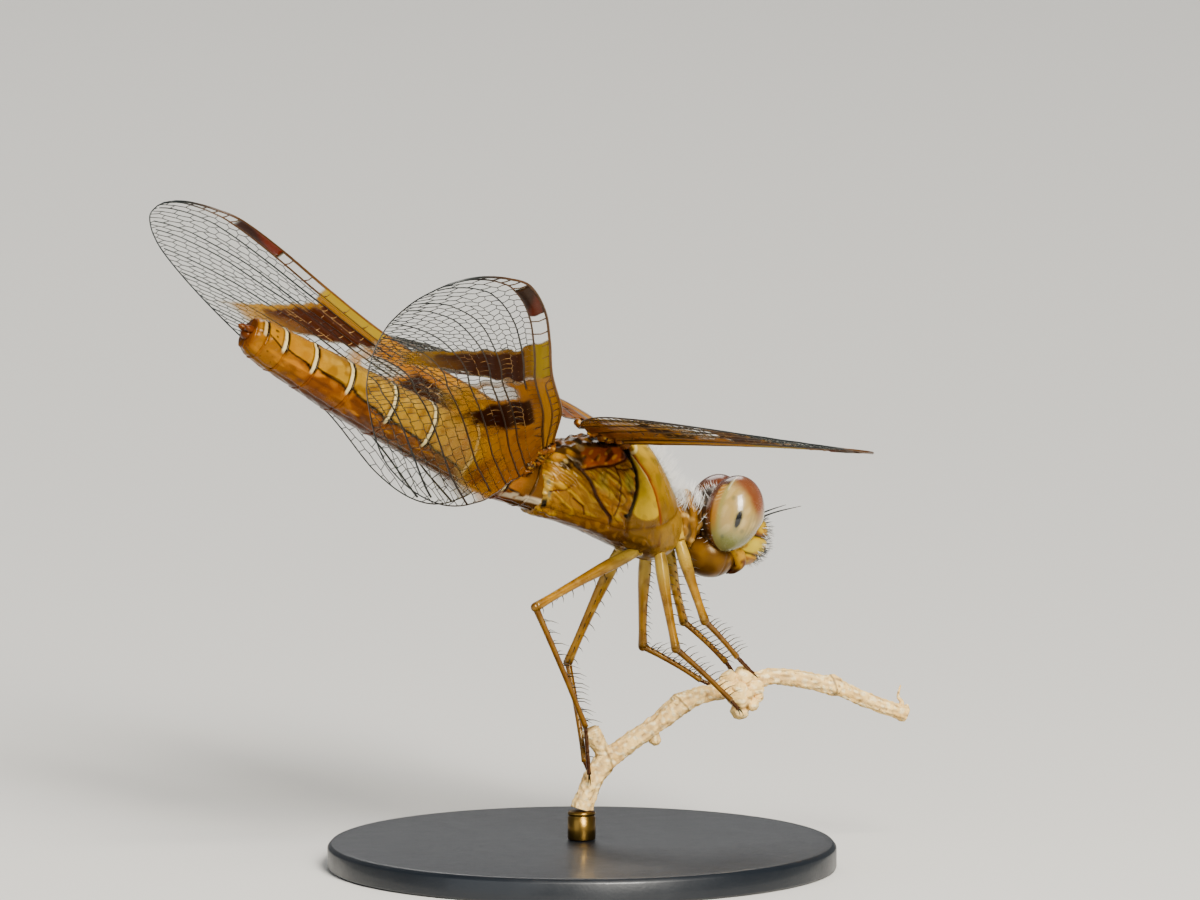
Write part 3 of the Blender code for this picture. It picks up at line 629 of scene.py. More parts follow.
# The shell's reflection is golden, because light passes its clear layers.
CUTICLE_TINT = (1.0, 0.74, 0.34)
plate_shine = new_look("amber_plate", "coat", 0.30, (1400.0, 16000.0, 0.45), 0.018, coat=0.08,
                       coat_rough=0.12, shine=0.22, tint=CUTICLE_TINT)
shell_piece("thorax_shell", shell, amber, plate_shine, "thorax", ["thorax"])

# ------------------------------------------------------------------------------------------------
# Collar: the small soft-walled ring between thorax and head that carries the front legs, made of
# uneven rolled folds, brown with tan rims.
# ------------------------------------------------------------------------------------------------
COLLAR_SECTIONS = ((3.16, -2.10, -4.05, 0.72), (3.42, -2.05, -4.10, 0.80),
                   (3.66, -1.80, -4.15, 0.90), (3.92, -1.95, -3.95, 0.84),
                   (4.18, -2.30, -3.70, 0.62), (4.36, -2.50, -3.55, 0.50))
neck = trunk(COLLAR_SECTIONS, 70, 110, 0.9, 0.1)
fold = 0.6 * np.sin((neck[..., 0] - 3.2) * 2 * math.pi / 0.46 + 1.6 * waves(neck, 1.1, 23))
fold += 0.5 * waves(neck, 0.5, 24)
neck = neck + outward(neck) * (0.06 * fold + 0.03 * waves(neck, 0.4, 21))[..., None]
tone = painted("A4701E", (
    ("D0A860", blotches(neck, 0.5, 22, 0.0, 0.8) * 0.8),
    ("4A2408", ramp(fold, -0.1, -0.9) * 0.8),
    ("5A3010", ramp(neck[..., 0], 3.95, 4.2) * 0.8),
))
shell_piece("collar_folds", neck, tone, plate_shine, "collar", ["prothorax"])

# ------------------------------------------------------------------------------------------------
# Abdomen: ten telescoping rings, keeled on top.  Each starts in a pale cream band, ends in a dark
# rim and carries a black line along its flank; above the line it is tan, below it glossy orange.
# ------------------------------------------------------------------------------------------------
ABDOMEN_BASE = np.array((-2.96, 0.0, -1.32))
ABDOMEN_PITCH = math.radians(28.6)
# Distance from the base, half width, height above the axis, depth below it.
ABDOMEN_FORM = np.array(((-0.6, 1.00, 1.18, 0.84), (0.0, 1.05, 1.22, 0.90), (1.7, 1.18, 1.22, 1.18),
                         (4.0, 1.22, 1.15, 1.28), (7.8, 1.36, 1.03, 1.24), (10.0, 1.27, 0.97, 1.15),
                         (12.0, 1.04, 0.92, 0.97), (13.3, 0.80, 0.88, 0.88),
                         (14.1, 0.62, 0.80, 0.72), (14.5, 0.44, 0.58, 0.46)))
RING_ENDS = (-0.35, 0.6, 1.7, 3.6, 5.8, 7.8, 9.9, 11.6, 13.0, 13.9, 14.4)
TUCK = 0.10                 # how far a ring slips into the one before it
# The flank line's angle round the ring at distances along the abdomen; 90 degrees is the keel.
FLANK_LINE = np.array(((0.5, 206), (2.4, 208), (4.0, 212), (5.8, 203), (7.9, 197), (10.1, 183),
                       (11.8, 181), (13.2, 170), (14.0, 150), (14.5, 140)))


def on_tail(points):
    """Points of the level abdomen, dipped by its pitch and moved to the rear of the thorax."""
    c, s = math.cos(ABDOMEN_PITCH), math.sin(ABDOMEN_PITCH)
    x, y, z = np.moveaxis(np.asarray(points, float), -1, 0)
    return np.stack([x * c + z * s, y, -x * s + z * c], -1) + ABDOMEN_BASE


def abdomen_grid(distance, angle, swell=0.0):
    """Keeled sections: y = w |cos|^0.9; z = above |sin|^1.15 on top, below |sin|^0.8 underneath."""
    wide, above, below = (np.interp(distance, ABDOMEN_FORM[:, 0], sizes) + swell
                          for sizes in ABDOMEN_FORM[:, 1:].T)
    c, s = np.cos(angle), np.sin(angle)
    z = np.where(s > 0, above * np.abs(s) ** 1.15, -below * np.abs(s) ** 0.8)
    y = wide * np.sign(c) * np.abs(c) ** 0.9
    return np.stack([-distance + 0 * y, y, z], -1)


def flank_degrees(distance, angle):
    """Degrees round the ring, with the left flank mirrored so that both run from 90 at the keel to
    270, and the degrees of the flank line at the same distance."""
    degrees = np.degrees(angle) % 360
    left = np.where(degrees < 90, 180 - degrees, degrees)
    mirrored = np.where(degrees > 270, 540 - degrees, left)
    return mirrored, np.interp(distance, FLANK_LINE[:, 0], FLANK_LINE[:, 1])


def abdomen_coat(distance, mirrored, line, start, end, points):
    """Colours of one ring from the distance along the abdomen, and the degrees round the ring of
    the point and of the flank line."""
    above = ramp(line - mirrored, -4, 6)
    # Wave patches: where high they are painted highlights of the gloss on the lower flank, where
    # low they darken the orange.
    sheen_patches = waves(points * (0.5, 1.0, 1.6), 0.55, 34)
    tan = painted("C0922A", (
        ("A06C14", blotches(points, 0.7, 32, -0.2, 0.8) * 0.8),
        ("DCB450", (ramp(np.abs(mirrored - 140), 16, 4)
                    * blotches(points, 0.5, 35, -0.2, 0.6) * 0.5)),
        ("94581A", ramp(mirrored, 116, 94) * 0.6),
        ("BC700A", ramp(distance, 6.0, 3.2) * 0.7),
        ("C08410", ramp(distance, 9.5, 12.8) * 0.8),
    ))
    dip = 5.0 * ramp(distance, start + 0.5, start) - 3.0 * ramp(distance, end - 0.5, end)
    lined = ramp(np.abs(mirrored - line - dip), 3.8, 1.4)
    lined = lined * ramp(distance, start + 0.02, start + 0.10) * ramp(distance, 14.1, 13.6)
    lined *= np.where(distance < 2.0, ramp(distance, 0.7, 1.2), 1.0)
    coat = painted("965403", (
        ("B87405", blotches(points, 0.8, 31, 0.0, 0.9) * 0.7),
        ("783C03", blotches(points, 0.6, 38, 0.2, 0.9) * 0.6),
        # painted highlights on the lower flank
        ("E0980C", ramp(sheen_patches, 0.35, 0.95) * ramp(mirrored, 246, 222) * 0.65),
        ("6A3404", ramp(sheen_patches, -0.5, -1.0) * 0.5),
        ("6A3004", ramp(mirrored, 228, 256) * 0.85),
        ("844202", ramp(distance, 7.5, 2.5) * 0.7),
        ("AC740A", ramp(distance, 11.5, 13.6) * 0.7),
        (tan, above),
        ("1E0C02", lined * 0.95),
    ))
    upper = ramp(line + 14 - mirrored, 0, 8)
    if 1.0 < start < 13.95:         # all rings but the first two and the last
        band = ramp(distance, start + 0.165, start + 0.12) * upper * (0.5 if start > 13.5 else 1.0)
        coat = painted(coat, (
            ("F0DCA0", band * blotches(points, 0.4, 36, -1.6, -0.6)),
            ("3A1A04", ramp(np.abs(distance - start - 0.20), 0.04, 0.015) * upper * 0.8),
        ))
    rim = ramp(distance, end - 0.12, end - 0.05)
    streak = ramp(np.abs(mirrored - 208 - 9 * distance), 13, 6) * ramp(distance, 2.0, 1.4)
    dots = blotches(points, 0.22, 37, 0.9, 1.2) * ramp(distance, 12.8, 13.6)
    return painted(coat, (
        ("2A1002", rim * upper * 0.95),
        ("9A5008", rim * (1 - upper) * 0.35),
        ("6E4410", ramp(distance, 1.5, 0.7) * 0.8),
        ("E0CCA8", streak * blotches(points, 0.5, 39, -0.9, -0.1) * 0.75),
        ("3A1404", dots * 0.9),
        ("8A4A0C", ramp(distance, 14.05, 14.4) * 0.6),
    ))


abdomen_shine = new_look("amber_ring", "coat", 0.26, (1600.0, 15000.0, 0.4), 0.016, coat=0.07,
                         coat_rough=0.12, shine=0.14, tint=CUTICLE_TINT)
around = ring_turns(132)
for k, (start, end) in enumerate(zip(RING_ENDS, RING_ENDS[1:])):
    tucked = k > 0                  # into the ring before it
    rows = max(int((end - start) / 0.035), 12)
    distance = np.linspace(start - TUCK * tucked, end, rows)[:, None] + 0 * around
    angle = around + 0 * distance
    inside = ramp(distance, start + 0.03, start - 0.08) * tucked
    flare = ramp(distance, end - 0.16, end - 0.02) * 0.035
    flare -= 0.10 * ramp(distance, end - 0.02, end + 0.02)
    ring = abdomen_grid(distance, angle, -0.09 * inside + flare)
    mirrored, line = flank_degrees(distance, angle)
    relief = (0.02 * ridge(mirrored - line, 3.5) + 0.016 * waves(ring, 0.5, 33)
              - 0.05 * ridge(mirrored - 246, 4.0) + 0.02 * ridge(mirrored - 92, 3.0))
    ring = ring + outward(ring) * relief[..., None]
    coat = abdomen_coat(distance, mirrored, line, start, end, ring)
    shell_piece(f"abdomen_ring_{k + 1}", on_tail(ring), coat, abdomen_shine, "abdomen",
                [f"abdomen_{k + 1}"])


def egg(centre, radii, rows, columns, lift=None):
    """An ellipsoid as rings: centre + radii x direction x (1 + lift), with the elevation and
    azimuth of its points; lift gives a share for each direction."""
    rise, turn, out = globe(rows, columns, 1.52)
    grow = 0 if lift is None else lift(out)[..., None]
    return np.asarray(centre) + out * np.asarray(radii) * (1 + grow), rise, turn


# Tip: two short blunt claspers and the plate between them, dark red-brown.
CLASPER = np.array(((-14.30, 0.24, 0.22, 0.13), (-14.50, 0.27, 0.20, 0.15),
                    (-14.66, 0.28, 0.20, 0.11), (-14.76, 0.27, 0.21, 0.04)))
tip_shine = new_look("claspers", hexed("84420A"), 0.35, (2000.0, 16000.0, 0.5), 0.012, coat=0.05,
                     shine=0.2, tint=CUTICLE_TINT)
for name, side in (("cercus_right", -1), ("cercus_left", 1)):
    points, faces = round_bar(spline(CLASPER * (1, side, 1, 1), 14), 14, (0, 0, 1))
    new_piece(f"{name}_tip", (on_tail(points), faces), tip_shine, "cercus", [name])
between = egg((-14.44, 0.0, -0.02), (0.20, 0.30, 0.22), 16, 24)[0]
new_piece("tail_plate", closed_grid(on_tail(between)), tip_shine, "cercus")

# ------------------------------------------------------------------------------------------------
# Eyes: two great domes that meet on top of the head, set with thousands of tiny lenses.  Cream and
# olive with a red-brown cap, a golden rear rim and the dark slit where the lenses look back.
# ------------------------------------------------------------------------------------------------
HEAD_CENTRE = np.array((5.3, 0.0, -3.15))
HEAD_TURNS = (-6.0, 15.0, -9.0)     # degrees: cocked, dipped, and turned to the insect's right
EYE_MIDDLE, EYE_RADII = np.array((0.18, 1.04, 0.32)), (1.16, 1.24, 1.56)
# Places on an eye in degrees round (0 is the front, -90 the outer side) and degrees up.
CAP_ROUND = (-180, -150, -120, -100, -88, -76, -64, -50, -30, 0, 50)
CAP_UP = (58, 52, 42, 30, 16, 4, 0, 6, 22, 36, 58)      # lower edge of the red-brown cap
EYE_STREAKS = (-84, -76, -68)
EYE_SPOTS = ((-138, -39), (-96, -24), (-128, 22))


def euler(angles):
    """Rotation matrix of X, then Y, then Z turns in degrees."""
    (a, b, c), (s, t, u) = np.cos(np.radians(angles)), np.sin(np.radians(angles))
    about_x = np.array(((1, 0, 0), (0, a, -s), (0, s, a)))
    about_y = np.array(((b, 0, t), (0, 1, 0), (-t, 0, b)))
    about_z = np.array(((c, -u, 0), (u, c, 0), (0, 0, 1)))
    return about_z @ about_y @ about_x


def on_head(points):
    """Points of the straight head, turned and moved to their place on the neck."""
    return points @ euler(HEAD_TURNS).T + HEAD_CENTRE


def lens_look():
    """Eye finish: painted colours under a clear coat, with a bump of small round lens cells."""
    look = new_look("eye_lenses", "coat", 0.26, (1500.0, 20000.0, 0.10), 0.002, coat=0.7,
                    coat_rough=0.08, rough_swing=0.08)
    tree = look.node_tree
    where = add_node(tree, "ShaderNodeTexCoord").outputs["Object"]
    cells = add_node(tree, "ShaderNodeTexVoronoi",
                     {"Vector": where, "Scale": 26000.0, "Randomness": 0.35}).outputs["Distance"]
    relief = add_node(tree, "ShaderNodeBump",
                      {"Height": cells, "Strength": 0.35, "Distance": 0.012 * MM}, invert=True)
    plug(tree, tree.nodes["Principled BSDF"], {"Normal": relief.outputs["Normal"]})
    return look


def eye_lift(out):
    """Radius share: the lower front of the dome is pressed in where the face sits."""
    front = ramp(out[..., 0] - out[..., 2] * 0.9, 0.55, 1.35)
    return -0.10 * front * ramp(out[..., 2], 0.1, -0.3)


lenses = lens_look()
for name, side in (("eye_right", -1), ("eye_left", 1)):
    dome, rise, turn = egg(EYE_MIDDLE * (1, side, 1), EYE_RADII, 130, 180, eye_lift)
    dome[..., 1] = side * np.maximum(side * dome[..., 1], 0.015)
    east = np.degrees(turn)
    east = np.where(east > 180, east - 360, east) * -side
    east = np.where(east > 60, east - 360, east) - 8
    high = np.degrees(rise)
    behind = ramp(east, -308, -262)         # fades the rear rim's colours towards the inner front
    grainy = waves(dome, 0.5, 51)
    cap = ramp(high - np.interp(east, CAP_ROUND, CAP_UP) + 3 * grainy, -14, 15)
    level = ramp(high, -55, -35) * ramp(high, 12, -4)
    rear = ramp(east, -150, -162) * behind
    slit = np.hypot((east + 110 - (high + 8) * 0.10) / 6.0, (high + 8) / 13.0)
    coat = painted("C6A45C", (
        ("E2C684", ramp(grainy, -0.2, 0.9) * 0.5),
        ("9A945A", ramp(high, -12, -44) * 0.85),
        ("B4A45E", ramp(east, -138, -152) * behind * 0.7),
        *(("8E8254", ridge(east - place - high * 0.10, 2.4) * level * 0.40)
          for place in EYE_STREAKS),
        ("944420", cap * 0.88),
        ("C48A6C", cap * ramp(east, -78, -50) * ramp(east, 45, 0) * 0.5),
        ("DCCDA6", ramp(east, -64, -20) * ramp(high, 30, 5) * ramp(high, -60, -30) * 0.6),
        ("C98A30", rear * ramp(high, -40, -10) * 0.85),
        ("E6C680", (rear * ramp(np.sin(high * 0.9 + 2 * grainy), 0.3, 0.9)
                    * ramp(high, 5, 20) * 0.7)),
        ("5A1E0C", ramp(east, -146, -156) * behind * ramp(high, 38, 46) * 0.9),
        ("E8DCB4", ridge(east + 146, 2.0) * ramp(high, 30, 38) * 0.8),
        ("8A4A1C", ramp(east, -166, -174) * behind * 0.9),
        ("8A4A1C", ramp(np.abs(east + 250), 60, 20) * 0.9),
        ("8A8258", ramp(slit, 1.7, 1.1) * 0.5),
        ("070504", ramp(slit, 1.12, 0.85)),
        *(("6E6A48", ramp(np.hypot((east - along) / 5.0, (high - up) / 4.0), 1.3, 0.5) * 0.45)
          for along, up in EYE_SPOTS),
    ))
    shell_piece(f"{name}_dome", on_head(dome), coat, lenses, "eye", [name])

# Head capsule: the hard brown-black back of the head that the eyes sit on, with pale margins.
head_shine = new_look("head_shell", "coat", 0.38, (1800.0, 16000.0, 0.35), 0.02, coat=0.10,
                      coat_rough=0.2, shine=0.4, tint=CUTICLE_TINT)
skull = egg((-0.22, 0.0, 0.10), (0.88, 1.78, 1.25), 70, 100,
            lambda out: 0.02 * waves(out, 0.5, 61))[0]
coat = painted("4A2814", (
    ("7A4A24", blotches(skull, 0.6, 62, 0.1, 0.9) * 0.8),
    ("B89058", blotches(skull, 0.35, 63, 0.7, 1.2) * 0.7),
))
shell_piece("head_capsule", on_head(skull), coat, head_shine, "head", ["head"])


def face_lift(out):
    """Radius share: three blocks up the front, parted by two grooves, and a shallow groove down
    the middle."""
    high = np.degrees(np.arcsin(np.clip(out[..., 2], -1, 1)))
    blocks = -0.10 * ridge(high - 8, 4.5) - 0.09 * ridge(high + 34, 4.0)
    groove = 0.04 * ridge(out[..., 1], 0.07) * ramp(high, 8, 20)
    return blocks + 0.05 * ridge(high - 38, 16) - groove


# Face: frons, clypeus and lip as three rounded blocks, yellow with dark joints, between the eyes.
front, rise, _ = egg((1.02, 0.0, -0.44), (1.06, 1.10, 1.14), 120, 140, face_lift)
high = np.degrees(rise)
coat = painted("DCB41A", (
    ("DCC03A", ramp(high, 4, -4) * ramp(high, -34, -28) * 0.9),
    ("C07A14", blotches(front, 0.5, 66, 0.2, 0.9) * 0.6),
    ("9A4E0E", ramp(high, 20, 11) * ramp(high, 5, 9) * 0.9),
    ("B06A1A", ramp(high, -36, -44) * blotches(front, 0.35, 65, -0.6, 0.3) * 0.7),
    ("6E5A1C", ramp(high, 48, 66) * 0.8),
    ("2E1A08", ridge(high - 8, 3.2) * 0.9 + ridge(high + 34, 2.6) * 0.8),
))
shell_piece("face_blocks", on_head(front), coat, head_shine, "face", ["face"])


def bowl_lift(out):
    """Radius share: a groove down the middle and another across each half of the lower lip."""
    across = ridge(out[..., 0] - 0.42, 0.03) * ramp(np.abs(out[..., 1]), 0.1, 0.2)
    return -0.03 * ridge(out[..., 1], 0.035) - 0.03 * across


# Mouthparts: the smooth round lower lip that hangs under the head like a bowl, split down its
# middle, and the two brown jaws between it and the upper lip.
JAW = np.array(((0.40, 0.86, -0.86, 0.24), (0.78, 0.76, -1.12, 0.27), (1.02, 0.52, -1.44, 0.24),
                (0.96, 0.26, -1.76, 0.14), (0.80, 0.12, -1.92, 0.05)))
lip_shine = new_look("lip_shell", "coat", 0.34, (1200.0, 16000.0, 0.2), 0.008, coat=0.05,
                     coat_rough=0.16, shine=0.3, tint=CUTICLE_TINT)
bowl = egg((-0.15, 0.0, -1.38), (1.07, 1.10, 0.90), 80, 110, bowl_lift)[0]
coat = painted("805006", (
    ("9C6A10", blotches(bowl, 1.0, 68, -0.4, 0.8) * 0.7),
    # Darker towards the top, where the lip lies under the eyes: painted shade.
    ("6A3A08", ramp(bowl[..., 2], -1.25, -0.85) * 0.8),
    ("B07E1E", ramp(bowl[..., 0], 0.15, 0.6) * blotches(bowl, 0.4, 69, 0.2, 0.8) * 0.8),
    ("2A1004", ridge(bowl[..., 1], 0.03) * 0.8),
))
shell_piece("lower_lip", on_head(bowl), coat, lip_shine, "labium", ["labium"])
points, faces = joined([round_bar(spline(JAW * (1, side, 1, 1), 30), 18, (1, 0, 0.2))
                        for side in (-1, 1)])
coat = painted("D8A428", (
    ("8A4A0C", blotches(points, 0.4, 67, 0.1, 0.7)),
    ("5E2A08", ramp(points[:, 2], -1.50, -1.80)),
))
new_piece("jaws", (on_head(points), faces), lip_shine, "labium", (), {"coat": coat})

# Feelers: two short ringed stalks drawn out into black bristles.
FEELER = np.array(((1.42, 0.30, 0.38, 0.085), (1.62, 0.38, 0.52, 0.075), (1.74, 0.42, 0.62, 0.040),
                   (2.20, 0.58, 0.90, 0.028), (2.92, 0.86, 1.26, 0.010)))
feeler_black = new_look("feeler_black", hexed("1C1410"), 0.4, (3000.0, 20000.0, 0.3), 0.004)
for name, side in (("antenna_right", -1), ("antenna_left", 1)):
    path = spline(FEELER * (1, side, 1, 1), 40)
    step = np.arange(len(path))
    path[:, 3] *= 1 + 0.18 * np.sin(step * 1.6) * ramp(step, 22, 6)
    points, faces = round_bar(path, 10, (0, 0, 1))
    new_piece(f"{name}_bristle", (on_head(points), faces), feeler_black, "antenna", [name])

# ------------------------------------------------------------------------------------------------
# Hair: white down on the front of the thorax, the collar and the back of the head, and short stiff
# black bristles down the face.  Each hair grows from its own pore and leans forwards and up.
# ------------------------------------------------------------------------------------------------
HAIR_SIDES, HAIR_STEPS = 3, (0.0, 0.35, 0.7, 1.0)       # a hair's rings stand at these shares of it


def hair_coat(name, grid, mask, count, length, lean, radius, look, slot, seed):
    """Thin tapered hairs rooted on a ring grid, on points picked by chance in proportion to a mask.

    A hair sets off along the surface normal plus the lean plus a little chance, and bends further
    towards the lean with the square of its run; it is a three-sided tube of four rings.  On the map
    OFBake it is a patch 0.003 across at its root's row and column of the grid."""
    rng = np.random.default_rng(seed)
    picked = rng.choice(mask.size, count, p=(mask / mask.sum()).ravel())
    rows, columns = mask.shape
    row, column = np.divmod(picked, columns)
    lean = np.array(lean)
    way = unit(outward(grid)[row, column] * 0.8 + lean + rng.normal(0, 0.20, (count, 3)))
    reach = (length * rng.uniform(0.55, 1.15, count))[:, None, None]
    run = np.array(HAIR_STEPS)[None, :, None]
    bend = way[:, None] * run + 0.25 * lean * run ** 2
    paths = (grid[row, column] - way * 0.02)[:, None] + reach * bend
    radii = np.tile(radius * np.array((1.0, 0.85, 0.6, 0.15)), (count, 1))
    piece = new_piece(name, tubes(paths, radii, HAIR_SIDES, (0.31, 0.2, 0.93)), look, slot)
    corners = np.empty(len(piece.data.loops), np.int32)
    piece.data.loops.foreach_get("vertex_index", corners)
    hair, within = np.divmod(corners, HAIR_SIDES * len(HAIR_STEPS))
    spot = np.stack([(row[hair] + 0.5) / rows, (column[hair] + 0.5) / columns], -1) * 0.99
    spot += np.stack([within % HAIR_SIDES * 0.0015, within // HAIR_SIDES * 0.001], -1)
    piece.data.uv_layers.new(name="OFBake").data.foreach_set("uv", spot.astype(np.float32).ravel())


pale_hair = new_look("pale_down", np.array((0.80, 0.79, 0.75)), 0.5, (3000.0, 20000.0, 0.2), 0.002,
                     shine=0.5)
black_hair = new_look("black_bristle", hexed("2A2018"), 0.4, (3000.0, 20000.0, 0.3), 0.002,
                      shine=0.4)
x, y, z = np.moveaxis(shell, -1, 0)
chest = ramp(x, 1.35, 2.4) * ramp(np.abs(y), 0.95, 0.35) * ramp(z, -2.9, -2.3)
hair_coat("down_thorax", shell, chest, 380, 0.66, (0.55, 0.0, 0.75), 0.008, pale_hair, "thorax",
          201)
neck_top = ramp(neck[..., 2], -2.7, -2.3) + 0.12 * ramp(neck[..., 2], -3.4, -2.8)
hair_coat("down_collar", neck, neck_top, 320, 0.50, (0.0, 0.0, 0.95), 0.008, pale_hair, "collar",
          202)
skull_set, (x, y, z) = on_head(skull), np.moveaxis(skull, -1, 0)
crown = ramp(x, -0.35, -0.6) * ramp(z, 0.3, 0.8) + 1e-9
nape = ramp(x, 0.35, -0.1) * ramp(np.abs(y), 0.4, 0.9) * ramp(z, 0.7, 0.3) + 1e-9
hair_coat("down_head", skull_set, crown, 70, 0.24, (-0.3, 0.0, 0.8), 0.006, pale_hair, "head", 203)
hair_coat("bristles_head", skull_set, nape, 110, 0.22, (-0.5, 0.0, 0.1), 0.006, pale_hair, "head",
          204)
face_set, ahead = on_head(front), ramp(front[..., 0], 1.35, 1.7)
brow = ahead * ramp(high, 60, 40) * ramp(high, -60, -40) + 1e-9
cheek = ahead * ramp(high, 55, 35) * ramp(high, -70, -50) + 1e-9
hair_coat("bristles_face", face_set, brow, 300, 0.30, (0.35, 0.0, -0.1), 0.010, black_hair, "face",
          205)
hair_coat("down_face", face_set, cheek, 260, 0.26, (0.3, 0.0, -0.3), 0.009, pale_hair, "face", 206)

# ------------------------------------------------------------------------------------------------
# Legs: hip knob, thigh, shin and three-jointed foot with two claws, amber with red-brown shade,
# and two rows of stiff black spines down the inner side of thigh and shin.
# ------------------------------------------------------------------------------------------------
# Hip, knee, end of the shin and tip of the foot.
LEGS = {
    "front_right": ((3.20, -0.60, -3.75), (3.97, -1.30, -6.87),
                    (5.82, -0.50, -8.51), (6.68, -0.30, -9.30)),
    "front_left": ((3.30, 0.60, -3.95), (4.42, 1.30, -7.25),
                   (5.91, 0.55, -8.87), (6.55, 0.50, -9.80)),
    "middle_right": ((2.25, -0.75, -4.10), (2.47, -1.70, -7.82),
                     (5.41, -0.75, -10.16), (5.80, -0.66, -10.56)),
    "middle_left": ((2.45, 0.75, -4.20), (2.81, 1.70, -8.18),
                    (4.90, 0.80, -9.54), (5.70, 0.50, -9.95)),
    "hind_right": ((1.20, -0.75, -4.00), (-3.45, -1.10, -5.86),
                   (-0.80, -0.30, -10.87), (-0.45, 0.05, -12.9)),
    "hind_left": ((1.30, 0.75, -4.10), (0.17, 3.00, -8.80),
                  (-0.05, 1.20, -12.50), (0.35, 1.15, -13.4)),
}


def limb(start, end, widths, bow, sides=16, rings=34):
    """A straight limb with a slight bow: its widths, spread evenly, are splined along it."""
    run = np.linspace(0, 1, rings)[:, None]
    line = start + (end - start) * run + np.asarray(bow) * np.sin(run * math.pi)
    radii = spline(np.array(widths)[:, None], rings)[:, 0]
    return line, radii, tubes(line[None], radii[None], sides, (0.3, 0.1, 0.94))


def spines(line, radii, inner, count, length, lean, seed):
    """Stiff bristles in two rows along a limb, leaning towards its tip.

    A bristle's foot lies on the limb at an even share of its length; its way is the inner side
    turned 0.6 radians to one row or the other, plus the limb's own direction times the lean."""
    rng = np.random.default_rng(seed)
    share = np.repeat(np.linspace(0.12, 0.95, count), 2)
    row = np.tile((-1.0, 1.0), count)
    k = share * (len(line) - 1)
    foot = np.stack([np.interp(k, np.arange(len(line)), line[:, j]) for j in range(3)], -1)
    thick = np.interp(k, np.arange(len(line)), radii)
    way = unit(line[-1] - line[0])
    inner = unit(inner - way * (inner @ way))
    across = np.cross(way, inner)
    out = inner * 0.80 + across * (row * 0.60)[:, None]
    out = unit(out + rng.normal(0, 0.06, (2 * count, 3)))
    reach = (length * rng.uniform(0.75, 1.1, 2 * count))[:, None]
    foot = foot + out * (thick * 0.8)[:, None]
    middle = foot + (out + way * lean * 0.6) * reach * 0.5
    tip = foot + (out + way * lean) * reach * 0.95
    paths = np.stack([foot, middle, tip], 1)
    return tubes(paths, np.tile((0.024, 0.017, 0.004), (2 * count, 1)), 5, way)


# Widths of a leg's parts, spread evenly from the end at the body.
HIP_WIDTHS = (0.50, 0.56, 0.44, 0.27)
THIGH_WIDTHS = (0.22, 0.26, 0.24, 0.20, 0.175, 0.165, 0.19)
SHIN_WIDTHS = (0.14, 0.12, 0.115, 0.11, 0.105, 0.105, 0.12)
FOOT_WIDTHS = (0.075, 0.085, 0.075, 0.095)
leg_shine = new_look("leg_shell", "coat", 0.30, (1800.0, 15000.0, 0.55), 0.014, coat=0.12,
                     coat_rough=0.12, shine=0.6, tint=CUTICLE_TINT)
for number, (name, places) in enumerate(LEGS.items()):
    hip, knee, ankle, toe = np.array(places)
    side = -1.0 if name.endswith("right") else 1.0
    inner = unit((ankle - hip) * 0.5 - (knee - hip))    # from the knee into the bend
    root = hip + unit(hip - knee) * 0.30 + (0, -side * 0.34, 0.22)
    thigh, thigh_radii, thigh_mesh = limb(hip, knee, THIGH_WIDTHS, -0.08 * inner)
    shin, shin_radii, shin_mesh = limb(knee, ankle, SHIN_WIDTHS, 0.05 * inner)
    hip_mesh = limb(root, hip, HIP_WIDTHS, (0, 0, 0), 24, 28)[2]
    knee_ball = closed_grid(egg(knee, (0.19, 0.17, 0.19), 12, 16)[0])
    parts, tones = [hip_mesh, thigh_mesh, shin_mesh, knee_ball], []
    for points, _ in parts:
        from_hip, from_knee = (np.linalg.norm(points - joint, axis=1) for joint in (hip, knee))
        tones.append(painted("C08A14", (
            ("D8B448", ramp(from_hip + 0.3 * waves(points, 0.7, 60 + number), 2.0, 0.6) * 0.85),
            ("8E540C", blotches(points, 0.9, 70 + number, 0.1, 0.9) * 0.55),
            ("E4BC5C", blotches(points, 0.40, 170 + number, 0.7, 1.2) * 0.6),
            ("5E300A", ramp(from_knee, 0.5, 0.1) * 0.7),
        )))
    tones[2] = over(tones[2], hexed("80480C"), 0.65 + 0 * tones[2][:, 0])
    dark_parts = []
    joints = [ankle + (toe - ankle) * share for share in (0.0, 0.22, 0.52, 0.96)]
    for near, far in zip(joints, joints[1:]):
        dark_parts.append(("6A3010", limb(near, far, FOOT_WIDTHS, (0, 0, 0), 10, 12)[2]))
    way = unit(toe - ankle)
    for turn in (-1, 1):
        sideways = np.cross(way, (0, 0, 1.0)) * turn
        claw = spline((toe - way * 0.06, toe + way * 0.10 + sideways * 0.10,
                       toe + way * 0.22 + sideways * 0.14 - (0, 0, 0.03),
                       toe + way * 0.27 + sideways * 0.13 - (0, 0, 0.12)), 12)
        dark_parts.append(("2A1208", tubes(claw[None], np.linspace(0.04, 0.008, 12)[None], 7,
                                           (0, 0, 1))))
    dark_parts.append(("170C06", spines(thigh, thigh_radii, inner, 9, 0.34, 0.5, 80 + number)))
    dark_parts.append(("170C06", spines(shin, shin_radii, inner, 10, 0.58, 0.6, 90 + number)))
    for code, mesh in dark_parts:
        parts.append(mesh)
        tones.append(np.broadcast_to(hexed(code), mesh[0].shape))
    solids = [f"{name}_{part}" for part in ("femur", "tibia", "tarsus")]
    new_piece(f"leg_{name}", joined(parts), leg_shine, "leg", solids, {"coat": np.vstack(tones)})

